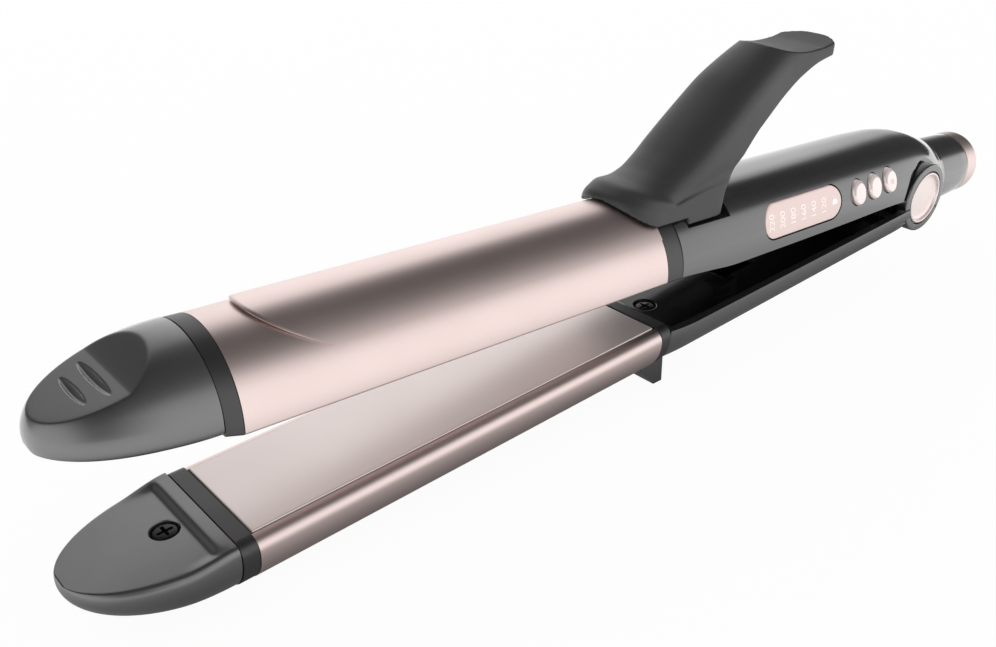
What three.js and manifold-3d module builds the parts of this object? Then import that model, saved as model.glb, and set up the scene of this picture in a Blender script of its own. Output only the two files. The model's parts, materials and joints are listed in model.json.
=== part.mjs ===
// Hair straightener with a curling clip: two hot arms on one hinge, built in millimetres, +Z up.
// Each arm is drawn in its own frame: +X runs from the front edge of the plate to the tail,
// Z = 0 is the plane where the closed plates meet, and the controls are on the -Y side.
import * as THREE from 'three';
import { mergeVertices } from 'three/addons/utils/BufferGeometryUtils.js';
import Module from 'manifold-3d';

const wasm = await Module();
wasm.setup();

// Clearances
const GAP = 0.3; // between two pieces that touch
const RUNNING_GAP = 0.35; // between a shaft and its bore
const SWING_GAP = 0.5; // between pieces that turn past each other

// Barrels and plates
const BARREL_RADIUS = 16;
const BARREL_LENGTH = 112.2;
const BARREL_WALL = 1;
const LIP_WIDTH = 2.7; // how far each barrel edge curls in over the plate
const LOWER_LIP_DEPTH = 2.7;
const UPPER_LIP_DEPTH = 0.76;
const LOWER_LIP_DROP = 0.35; // from the closing plane down to the lower barrel's edges
const UPPER_LIP_RISE = 1.8; // from the closing plane up to the upper barrel's edges
const PLATE_THICKNESS = 2.4;
const PLATE_MEETING_GAP = 0.3;

// Bands and tip caps
const FRONT_BAND = 3.7;
const LOWER_REAR_BAND = 3.3;
const UPPER_REAR_BAND = 5.6;
const BAND_RIM = 3;
const LOWER_TIP_LENGTH = 28.4;
const UPPER_TIP_LENGTH = 28.2;
const LOWER_TIP_FULLNESS = 1.76; // 2 is an ellipse from the band to the nose
const UPPER_TIP_FULLNESS = 1.97;
const TIP_WALL = 2;
const TIP_RIM_WIDTH = 1.2; // rounded rim round the flat faces of the caps
const TIP_RIM_DEPTH = 1.8;
const LOWER_TIP_STEP = 1.2; // how far the caps' flat faces lie back from the bands' edges
const UPPER_TIP_STEP = 1.7;
const TIP_STEP_START = 2.7; // from the band to the top of the sloped step
const TIP_STEP_RUN = 2.1;

// Thumb rest on the upper tip cap
const REST_SLOPE = 0.316;
const REST_CREASE_SETBACK = 13.3; // from the band to the crease at the back of the rest
const REST_CREASE_HEIGHT = 13.5;
const REST_BACK_RUN = 7.6;
const REST_BACK_RISE = 5.4;
const GROOVE_SETBACKS = [15.5, 19.3];
const GROOVE_LENGTHS = [14.4, 11.4];
const GROOVE_WIDTH = 1.7;
const GROOVE_DEPTH = 0.9;

// Heaters and what carries them
const HEATER_LENGTH = 66;
const HEATER_WIDTH = 14;
const HEATER_THICKNESS = 1.5;
const CARRIER_FLANGE = 10.5; // half width
const CARRIER_THICKNESS = 2;
const CARRIER_RIB = 3;
const SENSOR_LENGTH = 7;
const SENSOR_RADIUS = 0.7;
const FUSE_LENGTH = 10;
const FUSE_RADIUS = 1.9;
const LEAD_WIDTH = 3.2;
const LEAD_THICKNESS = 1.2;

// Handles
const HOLLOW_OVERRUN = 0.05; // how far the upper handle's hollow runs out past its open side
const HINGE_FROM_BARREL = 120.5;
const HINGE_HEIGHT = 0.15;
const OPEN_ANGLE = 5.21; // degrees between the arms at rest
const HANDLE_WALL = 2.2;
const LOWER_HALF_WIDTH = 17;
const LOWER_RIM_DROP = 1.3;
const LOWER_DEPTH_FRONT = 15.4;
const LOWER_DEPTH_REAR = 13.9;
const FLOOR_DROP = 3; // from the closing plane down to the lower inner cover
const COVER_THICKNESS = 1.8;
const UPPER_HALF_WIDTH = 16;
const UPPER_FRONT_CREST = 18.56;
const UPPER_CREST = 18.1;
const UPPER_EDGE_FRONT = 2.4;
const UPPER_EDGE = 0.7;
const SHOULDER_FROM_HINGE = 21.4; // where the handle ends at the tail tube

// Hinge
const EAR_RADIUS = 10.6;
const EAR_OUTER = 16.6;
const EAR_INNER = 13.3;
const PIN_RADIUS = 2;
const KNUCKLE_RADIUS = 9.2;
const KNUCKLE_OUTER = 12.8;
const KNUCKLE_INNER = 6.2;
const HINGE_CAP_RADIUS = 8.2;
const HINGE_CAP_DEPTH = 1.6;

// Tail
const TAIL_HEIGHT = -0.2;
const TAIL_LENGTH = 45.9; // from the hinge to the end of the lock ring
const TAIL_ROOT_RADIUS = 11.1;
const TAIL_END_RADIUS = 10.1;
const TAIL_BORE = 8.2;
const LOCK_RING_WIDTH = 6.6;
const BUSH_BORE = 3.6;
const BUSH_LENGTH = 15;

// Foot
const FOOT_DEPTH = 21.6; // below the closing plane
const FOOT_HALF_WIDTH = 8.5;
const FOOT_SOLE = 3.2;
const FOOT_TOP = 8.4;

// Controls
const DISPLAY_START = 32.9; // from the front of the upper handle
const DISPLAY_LENGTH = 35;
const DISPLAY_HEIGHT = 9;
const DISPLAY_CENTRE = 8.4;
const DISPLAY_FACE = 15.5; // how far out its face stands
const BUTTON_RADIUS = 3.5;
const BUTTON_START = 76.4;
const BUTTON_PITCH = 8.3;
const BUTTON_CENTRE = 9.2;
const BUTTON_FACE = 16.9;
const BUTTON_TRAVEL = 0.8;
const BOARD_PLANE = 9.8; // how far out the control board's outer face stands
const POWER_PART_SIDE = 10.4; // how far out the power board's large parts reach

// Clip and lever
const SPOON_GAP = 0.35;
const SPOON_THICKNESS = 0.8;
const SPOON_START = 8;
const SPOON_SWEEP = 12.6; // how far the front edge runs back at the sides
const SPOON_HALF_ANGLE = 53; // degrees each side of the top
const CLIP_PIN_X = 15.4; // from the front of the upper handle
const CLIP_PIN_HEIGHT = 10.3;
const CLIP_PIN_RADIUS = 1.5;
const CLIP_PIN_HALF_LENGTH = 12.6;
const CLIP_LUG_RADIUS = 3.2;
const CLIP_LUG_OUTER = 8;
const CLIP_LUG_INNER = 3.4;
const SADDLE_HEIGHT = 13; // top of the cut-out that the lever stands in
const SADDLE_END = 20.1;
const SADDLE_RELIEF = 1.7; // further back above this height, for the lever's swing
const SADDLE_RELIEF_HEIGHT = 16.6;
const COLLAR_EDGE = 15.3; // lower edge of the collar over the barrel
const COLLAR_STEP = 4.6; // from the handle's front, where the lever's lower edge steps down

// Latch
const LATCH_X = 34.2; // from the front of the upper handle to the hook
const LATCH_TRAVEL = 3.5;
const HOOK_DEPTH = 6.6;
const HOOK_WIDTH = 6;

// Screws
const SCREW_HEAD_RADIUS = 2.6;
const SCREW_HEAD = 1.4;
const SCREW_SHANK_RADIUS = 1.4;

// Round shapes
const ARC_STEPS = 24;
const ROUND_STEPS = 24;

// Places worked out from the sizes above
const hingeX = BARREL_LENGTH + HINGE_FROM_BARREL;
const lowerHandleX = BARREL_LENGTH + LOWER_REAR_BAND;
const upperHandleX = BARREL_LENGTH + UPPER_REAR_BAND;
const upperCentre = UPPER_LIP_RISE + UPPER_LIP_DEPTH;
const barrelCrest = upperCentre + BARREL_RADIUS;
const plateHalfWidth = BARREL_RADIUS - LIP_WIDTH - GAP;
const bandWindowHalf = BARREL_RADIUS - BAND_RIM - 4;
const lowerEndX = hingeX + 4;
const floorEndX = hingeX - KNUCKLE_RADIUS - SWING_GAP - 1;
const shoulderX = hingeX + SHOULDER_FROM_HINGE;
const tailEndX = hingeX + TAIL_LENGTH;
const ringX = tailEndX - LOCK_RING_WIDTH;
const clipPinX = upperHandleX + CLIP_PIN_X;
const clipPinBore = CLIP_PIN_HALF_LENGTH + GAP + 0.1;
const latchX = upperHandleX + LATCH_X;

// Finishes
const finish = (color, roughness, metalness) =>
  new THREE.MeshStandardMaterial({ color, roughness, metalness });
const charcoal = finish(0x4a4a4b, 0.42, 0);
const blackGloss = finish(0x141414, 0.2, 0);
const roseMetal = finish(0xd9bfb9, 0.3, 0.9);
const plateCoat = finish(0xcdbfbc, 0.35, 0.8);
const roseGlow = finish(0xf0dcd6, 0.35, 0);
const steel = finish(0xa8a8a8, 0.35, 1);
const darkSteel = finish(0x222222, 0.4, 0.8);
const ceramic = finish(0xe8e4dc, 0.6, 0);
const heatPlastic = finish(0x2d2d2d, 0.6, 0);
const circuitBoard = finish(0x1f5c38, 0.5, 0);
const silicone = finish(0xb03a2e, 0.7, 0);

// Turns a closed geometry into a solid whose faces point out
function solid(geometry) {
  const bare = new THREE.BufferGeometry();
  bare.setAttribute('position', geometry.getAttribute('position').clone());
  if (geometry.index) bare.setIndex(geometry.index.clone());
  const merged = mergeVertices(bare, 1e-4);
  const places = merged.getAttribute('position').array;
  const faces = [...merged.index.array];
  const kept = [];
  let volume = 0;
  const corner = (i) => new THREE.Vector3().fromArray(places, 3 * i);
  for (let i = 0; i < faces.length; i += 3) {
    const [a, b, c] = [faces[i], faces[i + 1], faces[i + 2]];
    if (a === b || b === c || c === a) continue;
    kept.push(a, b, c);
    volume += corner(a).dot(corner(b).cross(corner(c)));
  }
  if (volume < 0) kept.reverse();
  return new wasm.Manifold(
    new wasm.Mesh({ numProp: 3, vertProperties: new Float32Array(places), triVerts: new Uint32Array(kept) }),
  );
}

// Makes a named mesh from a solid
function piece(name, body, material, group) {
  const { vertProperties, triVerts } = body.getMesh();
  const geometry = new THREE.BufferGeometry();
  geometry.setAttribute('position', new THREE.BufferAttribute(new Float32Array(vertProperties), 3));
  geometry.setIndex(new THREE.BufferAttribute(new Uint32Array(triVerts), 1));
  geometry.computeVertexNormals();
  const mesh = new THREE.Mesh(geometry, material);
  mesh.name = name;
  group.add(mesh);
  return mesh;
}

const union = (...bodies) => bodies.reduce((sum, body) => sum.add(body));
const cut = (body, ...tools) => tools.reduce((rest, tool) => rest.subtract(tool), body);

// A plain block between two corners
function block(x0, x1, y0, y1, z0, z1) {
  const box = new THREE.BoxGeometry(x1 - x0, y1 - y0, z1 - z0);
  box.translate((x0 + x1) / 2, (y0 + y1) / 2, (z0 + z1) / 2);
  return solid(box);
}

// A round bar along X, Y or Z
function rod(axis, radius, from, to, centre, steps = ROUND_STEPS, endRadius = radius) {
  const bar = new THREE.CylinderGeometry(endRadius, radius, to - from, steps);
  if (axis === 'x') bar.rotateZ(-Math.PI / 2);
  if (axis === 'z') bar.rotateX(Math.PI / 2);
  const middle = (from + to) / 2;
  if (axis === 'x') bar.translate(middle, centre[0], centre[1]);
  if (axis === 'y') bar.translate(centre[0], middle, centre[1]);
  if (axis === 'z') bar.translate(centre[0], centre[1], middle);
  return solid(bar);
}

const outline = (points) => new THREE.Shape(points.map(([a, b]) => new THREE.Vector2(a, b)));
const axisX = new THREE.Vector3(1, 0, 0);
const axisY = new THREE.Vector3(0, 1, 0);
const axisZ = new THREE.Vector3(0, 0, 1);

// A [y, z] outline carried along X
function prismX(points, x0, x1) {
  const shape = new THREE.ExtrudeGeometry(outline(points), { depth: x1 - x0, bevelEnabled: false });
  shape.applyMatrix4(new THREE.Matrix4().makeBasis(axisY, axisZ, axisX));
  shape.translate(x0, 0, 0);
  return solid(shape);
}

// An [x, z] outline carried along Y
function prismY(points, y0, y1) {
  const shape = new THREE.ExtrudeGeometry(outline(points), { depth: y1 - y0, bevelEnabled: false });
  shape.applyMatrix4(new THREE.Matrix4().makeBasis(axisX, axisZ, axisY.clone().negate()));
  shape.translate(0, y1, 0);
  return solid(shape);
}

// A skin over rings of points, all with the same count, closed by a fan at each end
function loft(rings, startTip = null, endTip = null) {
  const places = [];
  const faces = [];
  const count = rings[0].length;
  const middle = (ring) => ring.reduce((sum, p) => sum.add(p), new THREE.Vector3()).divideScalar(count);
  for (const ring of rings) for (const p of ring) places.push(p.x, p.y, p.z);
  for (let i = 0; i + 1 < rings.length; i += 1) {
    for (let j = 0; j < count; j += 1) {
      const a = i * count + j;
      const b = i * count + ((j + 1) % count);
      faces.push(a, b, a + count, b, b + count, a + count);
    }
  }
  const last = (rings.length - 1) * count;
  const start = startTip ?? middle(rings[0]);
  const end = endTip ?? middle(rings.at(-1));
  const startIndex = rings.length * count;
  places.push(start.x, start.y, start.z, end.x, end.y, end.z);
  for (let j = 0; j < count; j += 1) {
    const next = (j + 1) % count;
    faces.push(startIndex, next, j, startIndex + 1, last + j, last + next);
  }
  const skin = new THREE.BufferGeometry();
  skin.setAttribute('position', new THREE.Float32BufferAttribute(places, 3));
  skin.setIndex(faces);
  return solid(skin);
}

// Rounded arch from one edge over the crest to the other edge: y and height above the edges
function arch(halfWidth, height, power, steps = ARC_STEPS) {
  const points = [];
  for (let i = 0; i <= steps; i += 1) {
    const angle = (Math.PI * i) / steps;
    const c = Math.cos(angle);
    const y = -halfWidth * Math.sign(c) * Math.abs(c) ** (2 / power);
    points.push([y, height * Math.sin(angle) ** (2 / power)]);
  }
  return points;
}

// The barrel's bowl: two lips that curl in, and a half round between them
function bowl(halfWidth, height, lipWidth, lipDepth, power = 2, steps = ARC_STEPS) {
  const points = [];
  const lipSteps = 5;
  for (let i = 0; i < lipSteps; i += 1) {
    const angle = Math.PI / 2 - (Math.PI / 2) * (i / lipSteps);
    points.push([-(halfWidth - lipWidth) - lipWidth * Math.cos(angle), lipDepth * (1 - Math.sin(angle))]);
  }
  for (const [y, h] of arch(halfWidth, height - lipDepth, power, steps)) {
    points.push([y, h + lipDepth]);
  }
  for (let i = lipSteps - 1; i >= 0; i -= 1) points.push([-points[i][0], points[i][1]]);
  return points;
}

// A bowl turned up or down from its edge plane
const place = (points, edge, side) => points.map(([y, h]) => [y, edge + side * h]);

// A curved wall of even thickness made from a bowl and the bowl inside it
function shellOutline(edge, side, height, lipDepth, wall) {
  const outer = bowl(BARREL_RADIUS, height, LIP_WIDTH, lipDepth);
  const inner = bowl(BARREL_RADIUS - wall, height - 2 * wall, LIP_WIDTH - wall, lipDepth - wall * 0.9);
  const lifted = inner.map(([y, h]) => [y, h + wall]);
  return place([...outer, ...lifted.reverse()], edge, side);
}

// Half-width and height of a tip cap at a share of its length, from band to nose
const tipWidth = (t) => BARREL_RADIUS * (1 - t ** 2.08) ** (1 / 2.08);
const tipHeight = (t, height, power) => height * (1 - t ** power) ** (1 / power);

// How far the flat face of a cap lies back from the band's edge, with a slope near the band
function tipStep(x, step) {
  const run = (-FRONT_BAND - TIP_STEP_START - x) / TIP_STEP_RUN;
  return step * THREE.MathUtils.smoothstep(run, 0, 1);
}

// A half-dome that tapers from the band to the nose, with a rounded rim round its flat face
function dome(edge, side, crest, tipLength, power, inset) {
  const back = -FRONT_BAND - GAP;
  const rimDepth = TIP_RIM_DEPTH;
  const length = (tipLength - GAP) * (1 - inset);
  const steps = inset > 0 ? 12 : ARC_STEPS;
  const front = [0, 0.06, 0.09, 0.12, 0.15, 0.18, 0.25, 0.38];
  const stations = [...front, 0.5, 0.61, 0.71, 0.8, 0.87, 0.93, 0.965, 0.988, 0.998];
  const rings = stations.map((t) => {
    const x = back - t * length;
    const flat = edge + side * tipStep(x, side < 0 ? LOWER_TIP_STEP : UPPER_TIP_STEP);
    const nose = Math.max(0, 1 - (1 - t) * length / rimDepth);
    const lift = rimDepth * (1 - Math.sqrt(1 - nose ** 2));
    const low = flat + side * (lift + inset * 4);
    const half = Math.max(tipWidth(t) * (1 - inset), 0.3);
    const widest = flat + side * rimDepth;
    const top = tipHeight(t, Math.abs(crest - widest), power) * (1 - inset);
    const lipDepth = Math.max(Math.abs(widest - low), 0.02);
    const section = bowl(half, top + lipDepth, Math.min(TIP_RIM_WIDTH, half * 0.4), lipDepth, 2, steps);
    return section.map(([y, h]) => new THREE.Vector3(x, y, low + side * h));
  });
  return loft(rings);
}

// A cross-head screw standing along Z with its head's top at a height
function screw(x, y, top, length) {
  const head = rod('z', SCREW_HEAD_RADIUS, top - SCREW_HEAD, top, [x, y], 20);
  const shank = rod('z', SCREW_SHANK_RADIUS, top - length, top - SCREW_HEAD + 0.3, [x, y], 12);
  const slot = 0.35;
  const reach = SCREW_HEAD_RADIUS * 0.62;
  const depth = SCREW_HEAD * 0.6;
  return cut(
    union(head, shank),
    block(x - reach, x + reach, y - slot, y + slot, top - depth, top + 1),
    block(x - slot, x + slot, y - reach, y + reach, top - depth, top + 1),
  );
}

// The hole that a screw drops into, with air all round
function screwHole(x, y, top, length) {
  return union(
    rod('z', SCREW_HEAD_RADIUS + GAP, top - SCREW_HEAD - GAP, top + 2, [x, y], 20),
    rod('z', SCREW_SHANK_RADIUS + GAP, top - length - GAP, top, [x, y], 12),
  );
}

// A flat twin lead along a list of points in the X-Z plane, at one y
function lead(points) {
  const path = new THREE.CatmullRomCurve3(points.map((point) => new THREE.Vector3(...point)));
  const half = LEAD_WIDTH / 2;
  const rings = [];
  const steps = 4 * (points.length - 1);
  for (let i = 0; i <= steps; i += 1) {
    const at = path.getPoint(i / steps);
    const along = path.getTangent(i / steps);
    const up = new THREE.Vector3(-along.z, 0, along.x);
    const ring = [];
    for (let j = 0; j < 8; j += 1) {
      const angle = (Math.PI * (j + 0.5)) / 4;
      const side = Math.sign(Math.cos(angle)) * Math.abs(Math.cos(angle)) ** 0.6 * half;
      const rise = Math.sin(angle) * (LEAD_THICKNESS / 2);
      ring.push(at.clone().addScaledVector(axisY, side).addScaledVector(up, rise));
    }
    rings.push(ring);
  }
  return loft(rings);
}

// A coil round a pin along Y, with a straight leg at each end
function torsionSpring(pinRadius, wire, halfLength, centre, legs) {
  const radius = pinRadius + GAP + wire;
  const turns = 4;
  const stepsPerTurn = 10;
  const points = [];
  const [startAngle, startLength, endAngle, endLength] = legs;
  const ringAt = (angle, y) =>
    new THREE.Vector3(centre[0] + radius * Math.cos(angle), y, centre[1] + radius * Math.sin(angle));
  const sweep = turns * 2 * Math.PI + (endAngle - startAngle);
  const steps = Math.round((turns + 1) * stepsPerTurn);
  for (let i = 0; i <= steps; i += 1) {
    const share = i / steps;
    points.push(ringAt(startAngle + sweep * share, -halfLength + wire + 2 * (halfLength - wire) * share));
  }
  const first = points[0].clone().add(new THREE.Vector3(Math.sin(startAngle), 0, -Math.cos(startAngle))
    .multiplyScalar(startLength));
  const last = points.at(-1).clone().add(new THREE.Vector3(-Math.sin(endAngle), 0, Math.cos(endAngle))
    .multiplyScalar(endLength));
  const line = [first, ...points, last];
  const rings = line.map((at, i) => {
    const before = line[Math.max(i - 1, 0)];
    const after = line[Math.min(i + 1, line.length - 1)];
    const along = after.clone().sub(before).normalize();
    const across = axisY.clone().addScaledVector(along, -axisY.dot(along)).normalize();
    const out = new THREE.Vector3().crossVectors(across, along);
    const ring = [];
    for (let j = 0; j < 6; j += 1) {
      const angle = (Math.PI * j) / 3;
      const sideways = at.clone().addScaledVector(across, wire * Math.cos(angle));
      ring.push(sideways.addScaledVector(out, wire * Math.sin(angle)));
    }
    return ring;
  });
  return loft(rings);
}

const object = new THREE.Group();
const lowerArm = new THREE.Group();
const upperArm = new THREE.Group();
object.add(lowerArm, upperArm);

// Lower tip cap: a hollow half-dome with a flat top, a step near the band and a boss for its screw
const tipScrewX = -FRONT_BAND - 7.6;
const capLength = (share) => -FRONT_BAND - share;
const lowerScrewTop = -LOWER_TIP_STEP - 0.2;
const lowerScrewLength = 11;
const lowerCapOuter = dome(0, -1, -BARREL_RADIUS, LOWER_TIP_LENGTH, LOWER_TIP_FULLNESS, 0);
const lowerCapInner = cut(
  dome(0, -1, -BARREL_RADIUS, LOWER_TIP_LENGTH, LOWER_TIP_FULLNESS, 0.14).translate([1.2, 0, 0]),
  block(-60, 10, -20, 20, -LOWER_TIP_STEP - TIP_WALL, 10),
);
const lowerBossTool = rod('z', SCREW_HEAD_RADIUS + 1.6, -BARREL_RADIUS, -LOWER_TIP_STEP - 1, [tipScrewX, 0]);
const lowerBoss = lowerBossTool.intersect(lowerCapOuter);
piece(
  'lower_tip_cap',
  cut(
    union(cut(lowerCapOuter, lowerCapInner), lowerBoss),
    screwHole(tipScrewX, 0, lowerScrewTop, lowerScrewLength),
  ),
  charcoal,
  lowerArm,
);
piece('front_screw', screw(tipScrewX, 0, lowerScrewTop, lowerScrewLength), darkSteel, lowerArm);

// Bands: bulkheads between the metal barrel and the plastic ends, with a window for the leads
function band(x0, x1, edge, side, height, lipDepth) {
  const section = place(bowl(BARREL_RADIUS, height, LIP_WIDTH, lipDepth), edge, side);
  const body = prismX(section, x0 + GAP / 2, x1 - GAP / 2);
  const low = edge + side * (BAND_RIM + 1.5);
  const high = edge + side * (height - BAND_RIM - 3);
  const half = bandWindowHalf;
  return cut(body, block(x0 - 1, x1 + 1, -half, half, Math.min(low, high), Math.max(low, high)));
}
piece(
  'lower_front_band',
  band(-FRONT_BAND, 0, 0, -1, BARREL_RADIUS, LOWER_LIP_DEPTH),
  charcoal,
  lowerArm,
);
piece(
  'lower_rear_band',
  band(BARREL_LENGTH, lowerHandleX, 0, -1, BARREL_RADIUS, LOWER_LIP_DEPTH),
  charcoal,
  lowerArm,
);

// Barrels: thin metal half rounds whose edges curl in beside the plates
const lowerBarrelHeight = BARREL_RADIUS - LOWER_LIP_DROP;
const upperBarrelHeight = barrelCrest - UPPER_LIP_RISE;
piece(
  'lower_barrel',
  prismX(
    shellOutline(-LOWER_LIP_DROP, -1, lowerBarrelHeight, LOWER_LIP_DEPTH, BARREL_WALL),
    GAP / 2,
    BARREL_LENGTH - GAP / 2,
  ),
  roseMetal,
  lowerArm,
);
piece(
  'upper_barrel',
  prismX(
    shellOutline(UPPER_LIP_RISE, 1, upperBarrelHeight, UPPER_LIP_DEPTH, BARREL_WALL),
    GAP / 2,
    BARREL_LENGTH - GAP / 2,
  ),
  roseMetal,
  upperArm,
);

// Plate, heater, carrier and sensor of one arm, stacked away from the closing plane
function hotStack(prefix, face, side, crest, group) {
  const level = (depth) => face + side * depth;
  const slab = (x0, x1, half, from, to) =>
    block(x0, x1, -half, half, Math.min(level(from), level(to)), Math.max(level(from), level(to)));
  const x0 = GAP;
  const x1 = BARREL_LENGTH - GAP;
  const bevel = 0.5;
  const section = [
    [-plateHalfWidth + bevel, level(0)],
    [-plateHalfWidth, level(bevel)],
    [-plateHalfWidth, level(PLATE_THICKNESS)],
    [plateHalfWidth, level(PLATE_THICKNESS)],
    [plateHalfWidth, level(bevel)],
    [plateHalfWidth - bevel, level(0)],
  ];
  piece(`${prefix}_plate`, prismX(section, x0, x1), plateCoat, group);
  const heaterTop = PLATE_THICKNESS + GAP;
  const heaterX = (BARREL_LENGTH - HEATER_LENGTH) / 2;
  piece(
    `${prefix}_heater`,
    slab(heaterX, heaterX + HEATER_LENGTH, HEATER_WIDTH / 2, heaterTop, heaterTop + HEATER_THICKNESS),
    ceramic,
    group,
  );
  const traySeat = heaterTop + HEATER_THICKNESS + GAP;
  const railInner = HEATER_WIDTH / 2 + GAP;
  const ribFoot = crest - BARREL_WALL - GAP;
  const tray = slab(4, BARREL_LENGTH - 4, CARRIER_FLANGE, traySeat, traySeat + CARRIER_THICKNESS);
  const rail = (y0, y1) =>
    block(
      4,
      BARREL_LENGTH - 4,
      y0,
      y1,
      Math.min(level(heaterTop), level(traySeat + 0.5)),
      Math.max(level(heaterTop), level(traySeat + 0.5)),
    );
  const rib = slab(4, BARREL_LENGTH - 4, CARRIER_RIB / 2, traySeat + CARRIER_THICKNESS - 0.5, ribFoot);
  const foot = slab(4, BARREL_LENGTH - 4, CARRIER_RIB * 1.6, ribFoot - 1.6, ribFoot);
  const inside = prismX(
    place(arch(BARREL_RADIUS - BARREL_WALL - GAP, crest - BARREL_WALL - GAP - 3, 2), level(3), side),
    0,
    BARREL_LENGTH,
  );
  const carrier = union(tray, rail(-CARRIER_FLANGE, -railInner), rail(railInner, CARRIER_FLANGE), rib, foot);
  piece(`${prefix}_heater_carrier`, carrier.intersect(union(inside, slab(0, BARREL_LENGTH, 12, heaterTop, 4))),
    heatPlastic, group);
  const sensorX = heaterX - SENSOR_LENGTH - 1;
  piece(
    `${prefix}_temperature_sensor`,
    rod('x', SENSOR_RADIUS, sensorX, sensorX + SENSOR_LENGTH, [0, level(traySeat - GAP - SENSOR_RADIUS)], 10),
    steel,
    group,
  );
  return traySeat + CARRIER_THICKNESS;
}
const lowerTrayDepth = hotStack('lower', 0, -1, BARREL_RADIUS, lowerArm);
const upperTrayDepth = hotStack('upper', PLATE_MEETING_GAP, 1, barrelCrest - PLATE_MEETING_GAP, upperArm);

// Thermal fuse on the upper carrier, beside its rib
const fuseX = BARREL_LENGTH * 0.6;
const fuseZ = PLATE_MEETING_GAP + upperTrayDepth + GAP + FUSE_RADIUS;
piece(
  'thermal_fuse',
  rod('x', FUSE_RADIUS, fuseX, fuseX + FUSE_LENGTH, [CARRIER_RIB / 2 + GAP + FUSE_RADIUS, fuseZ], 14),
  steel,
  upperArm,
);

// Upper tip cap: a hollow half-dome with a flat thumb rest, a hollow behind it and two grooves
const crease = [capLength(REST_CREASE_SETBACK), REST_CREASE_HEIGHT];
function thumbRestCutter() {
  const farX = crease[0] - 30;
  const points = [
    [farX, crease[1] - 30 * REST_SLOPE],
    crease,
  ];
  const backSteps = 6;
  for (let i = 1; i <= backSteps; i += 1) {
    const share = i / backSteps;
    points.push([crease[0] + REST_BACK_RUN * share, crease[1] + REST_BACK_RISE * share ** 1.25]);
  }
  points.push([crease[0] + REST_BACK_RUN, crease[1] + 20], [farX, crease[1] + 20]);
  return prismY(points, -BARREL_RADIUS - 2, BARREL_RADIUS + 2);
}
function groove(setback, length) {
  const ball = new THREE.SphereGeometry(1, 12, 10);
  ball.scale(GROOVE_WIDTH / 2, length / 2, GROOVE_DEPTH);
  ball.rotateY(-Math.atan(REST_SLOPE));
  const x = capLength(setback);
  ball.translate(x, 0, crease[1] + (x - crease[0]) * REST_SLOPE);
  return solid(ball);
}
const upperBandEdge = UPPER_LIP_RISE;
const upperCapOuter = dome(upperBandEdge, 1, barrelCrest, UPPER_TIP_LENGTH, UPPER_TIP_FULLNESS, 0);
const upperCapInner = cut(
  dome(upperBandEdge, 1, barrelCrest, UPPER_TIP_LENGTH, UPPER_TIP_FULLNESS, 0.14).translate([1.2, 0, 0]),
  thumbRestCutter().translate([-0.5, 0, -TIP_WALL - 0.6]),
  block(-60, 10, -20, 20, -10, upperBandEdge + UPPER_TIP_STEP + TIP_WALL),
);
piece(
  'upper_tip_cap',
  cut(
    upperCapOuter,
    upperCapInner,
    thumbRestCutter(),
    ...GROOVE_SETBACKS.map((setback, i) => groove(setback, GROOVE_LENGTHS[i])),
  ),
  charcoal,
  upperArm,
);
const upperBand = (x0, x1) =>
  band(x0, x1, upperBandEdge, 1, barrelCrest - upperBandEdge, UPPER_LIP_DEPTH + UPPER_LIP_RISE - upperBandEdge);
piece('upper_front_band', upperBand(-FRONT_BAND, 0), charcoal, upperArm);
piece('upper_rear_band', upperBand(BARREL_LENGTH, upperHandleX), charcoal, upperArm);

// Lower handle: a half-round trough that ends in two round ears at the hinge
const lowerDepth = (x) => {
  const share = (x - lowerHandleX) / (hingeX - lowerHandleX);
  return LOWER_DEPTH_FRONT + (LOWER_DEPTH_REAR - LOWER_DEPTH_FRONT) * share;
};
function lowerHandleBody(inset) {
  const first = lowerHandleX + GAP / 2;
  const roundStart = hingeX - 10;
  const stations = [
    [first, 0, 0],
    [first + 4, 0.65, 0],
    [first + 9, 1, 0],
    [first + 50, 1, 0],
    [roundStart, 1, 0],
    [roundStart + 5, 1, 0.6],
    [roundStart + 9, 1, 2.2],
    [lowerEndX, 1, 5],
  ];
  const edge = -LOWER_RIM_DROP;
  const rings = stations.map(([x, widen, rise]) => {
    const half = BARREL_RADIUS + (LOWER_HALF_WIDTH - BARREL_RADIUS) * widen;
    const depth = lowerDepth(x) - LOWER_RIM_DROP - rise;
    const section = arch(half - inset, depth - inset, 2.06);
    return section.map(([y, h]) => new THREE.Vector3(x, y, edge - h));
  });
  return loft(rings);
}
const ear = (side) => {
  const from = side < 0 ? -EAR_OUTER : EAR_INNER;
  return rod('y', EAR_RADIUS, from, from + EAR_OUTER - EAR_INNER, [hingeX, HINGE_HEIGHT], 40);
};
const earWeb = (side) => {
  const y0 = side < 0 ? -EAR_OUTER + 0.4 : EAR_INNER;
  return prismY(
    [
      [hingeX - 24, -LOWER_RIM_DROP - 3],
      [hingeX - 24, -LOWER_RIM_DROP],
      [hingeX - 9, -LOWER_RIM_DROP],
      [hingeX, 0],
      [hingeX, -8],
      [hingeX - 8, -6],
      [hingeX - 24, -4.5],
    ],
    y0,
    y0 + EAR_OUTER - EAR_INNER - 0.4,
  );
};
const floorTop = -FLOOR_DROP;
const coverHalf = LOWER_HALF_WIDTH - HANDLE_WALL - 0.4;
const lowerCavity = cut(
  lowerHandleBody(HANDLE_WALL),
  block(lowerHandleX - 5, lowerHandleX + 2, -30, 30, -30, 30),
);
const cavityMouth = block(lowerHandleX + 2, lowerEndX + 5, -coverHalf, coverHalf, -LOWER_RIM_DROP - 6, 5);
const postTop = floorTop - COVER_THICKNESS - GAP;
const lowerPost = (x) => rod('z', SCREW_HEAD_RADIUS + 1.2, -LOWER_DEPTH_REAR, postTop, [x, 0], 16);
const rearScrewX = lowerHandleX + 8;
const rearCoverScrewX = floorEndX - 12;
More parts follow.
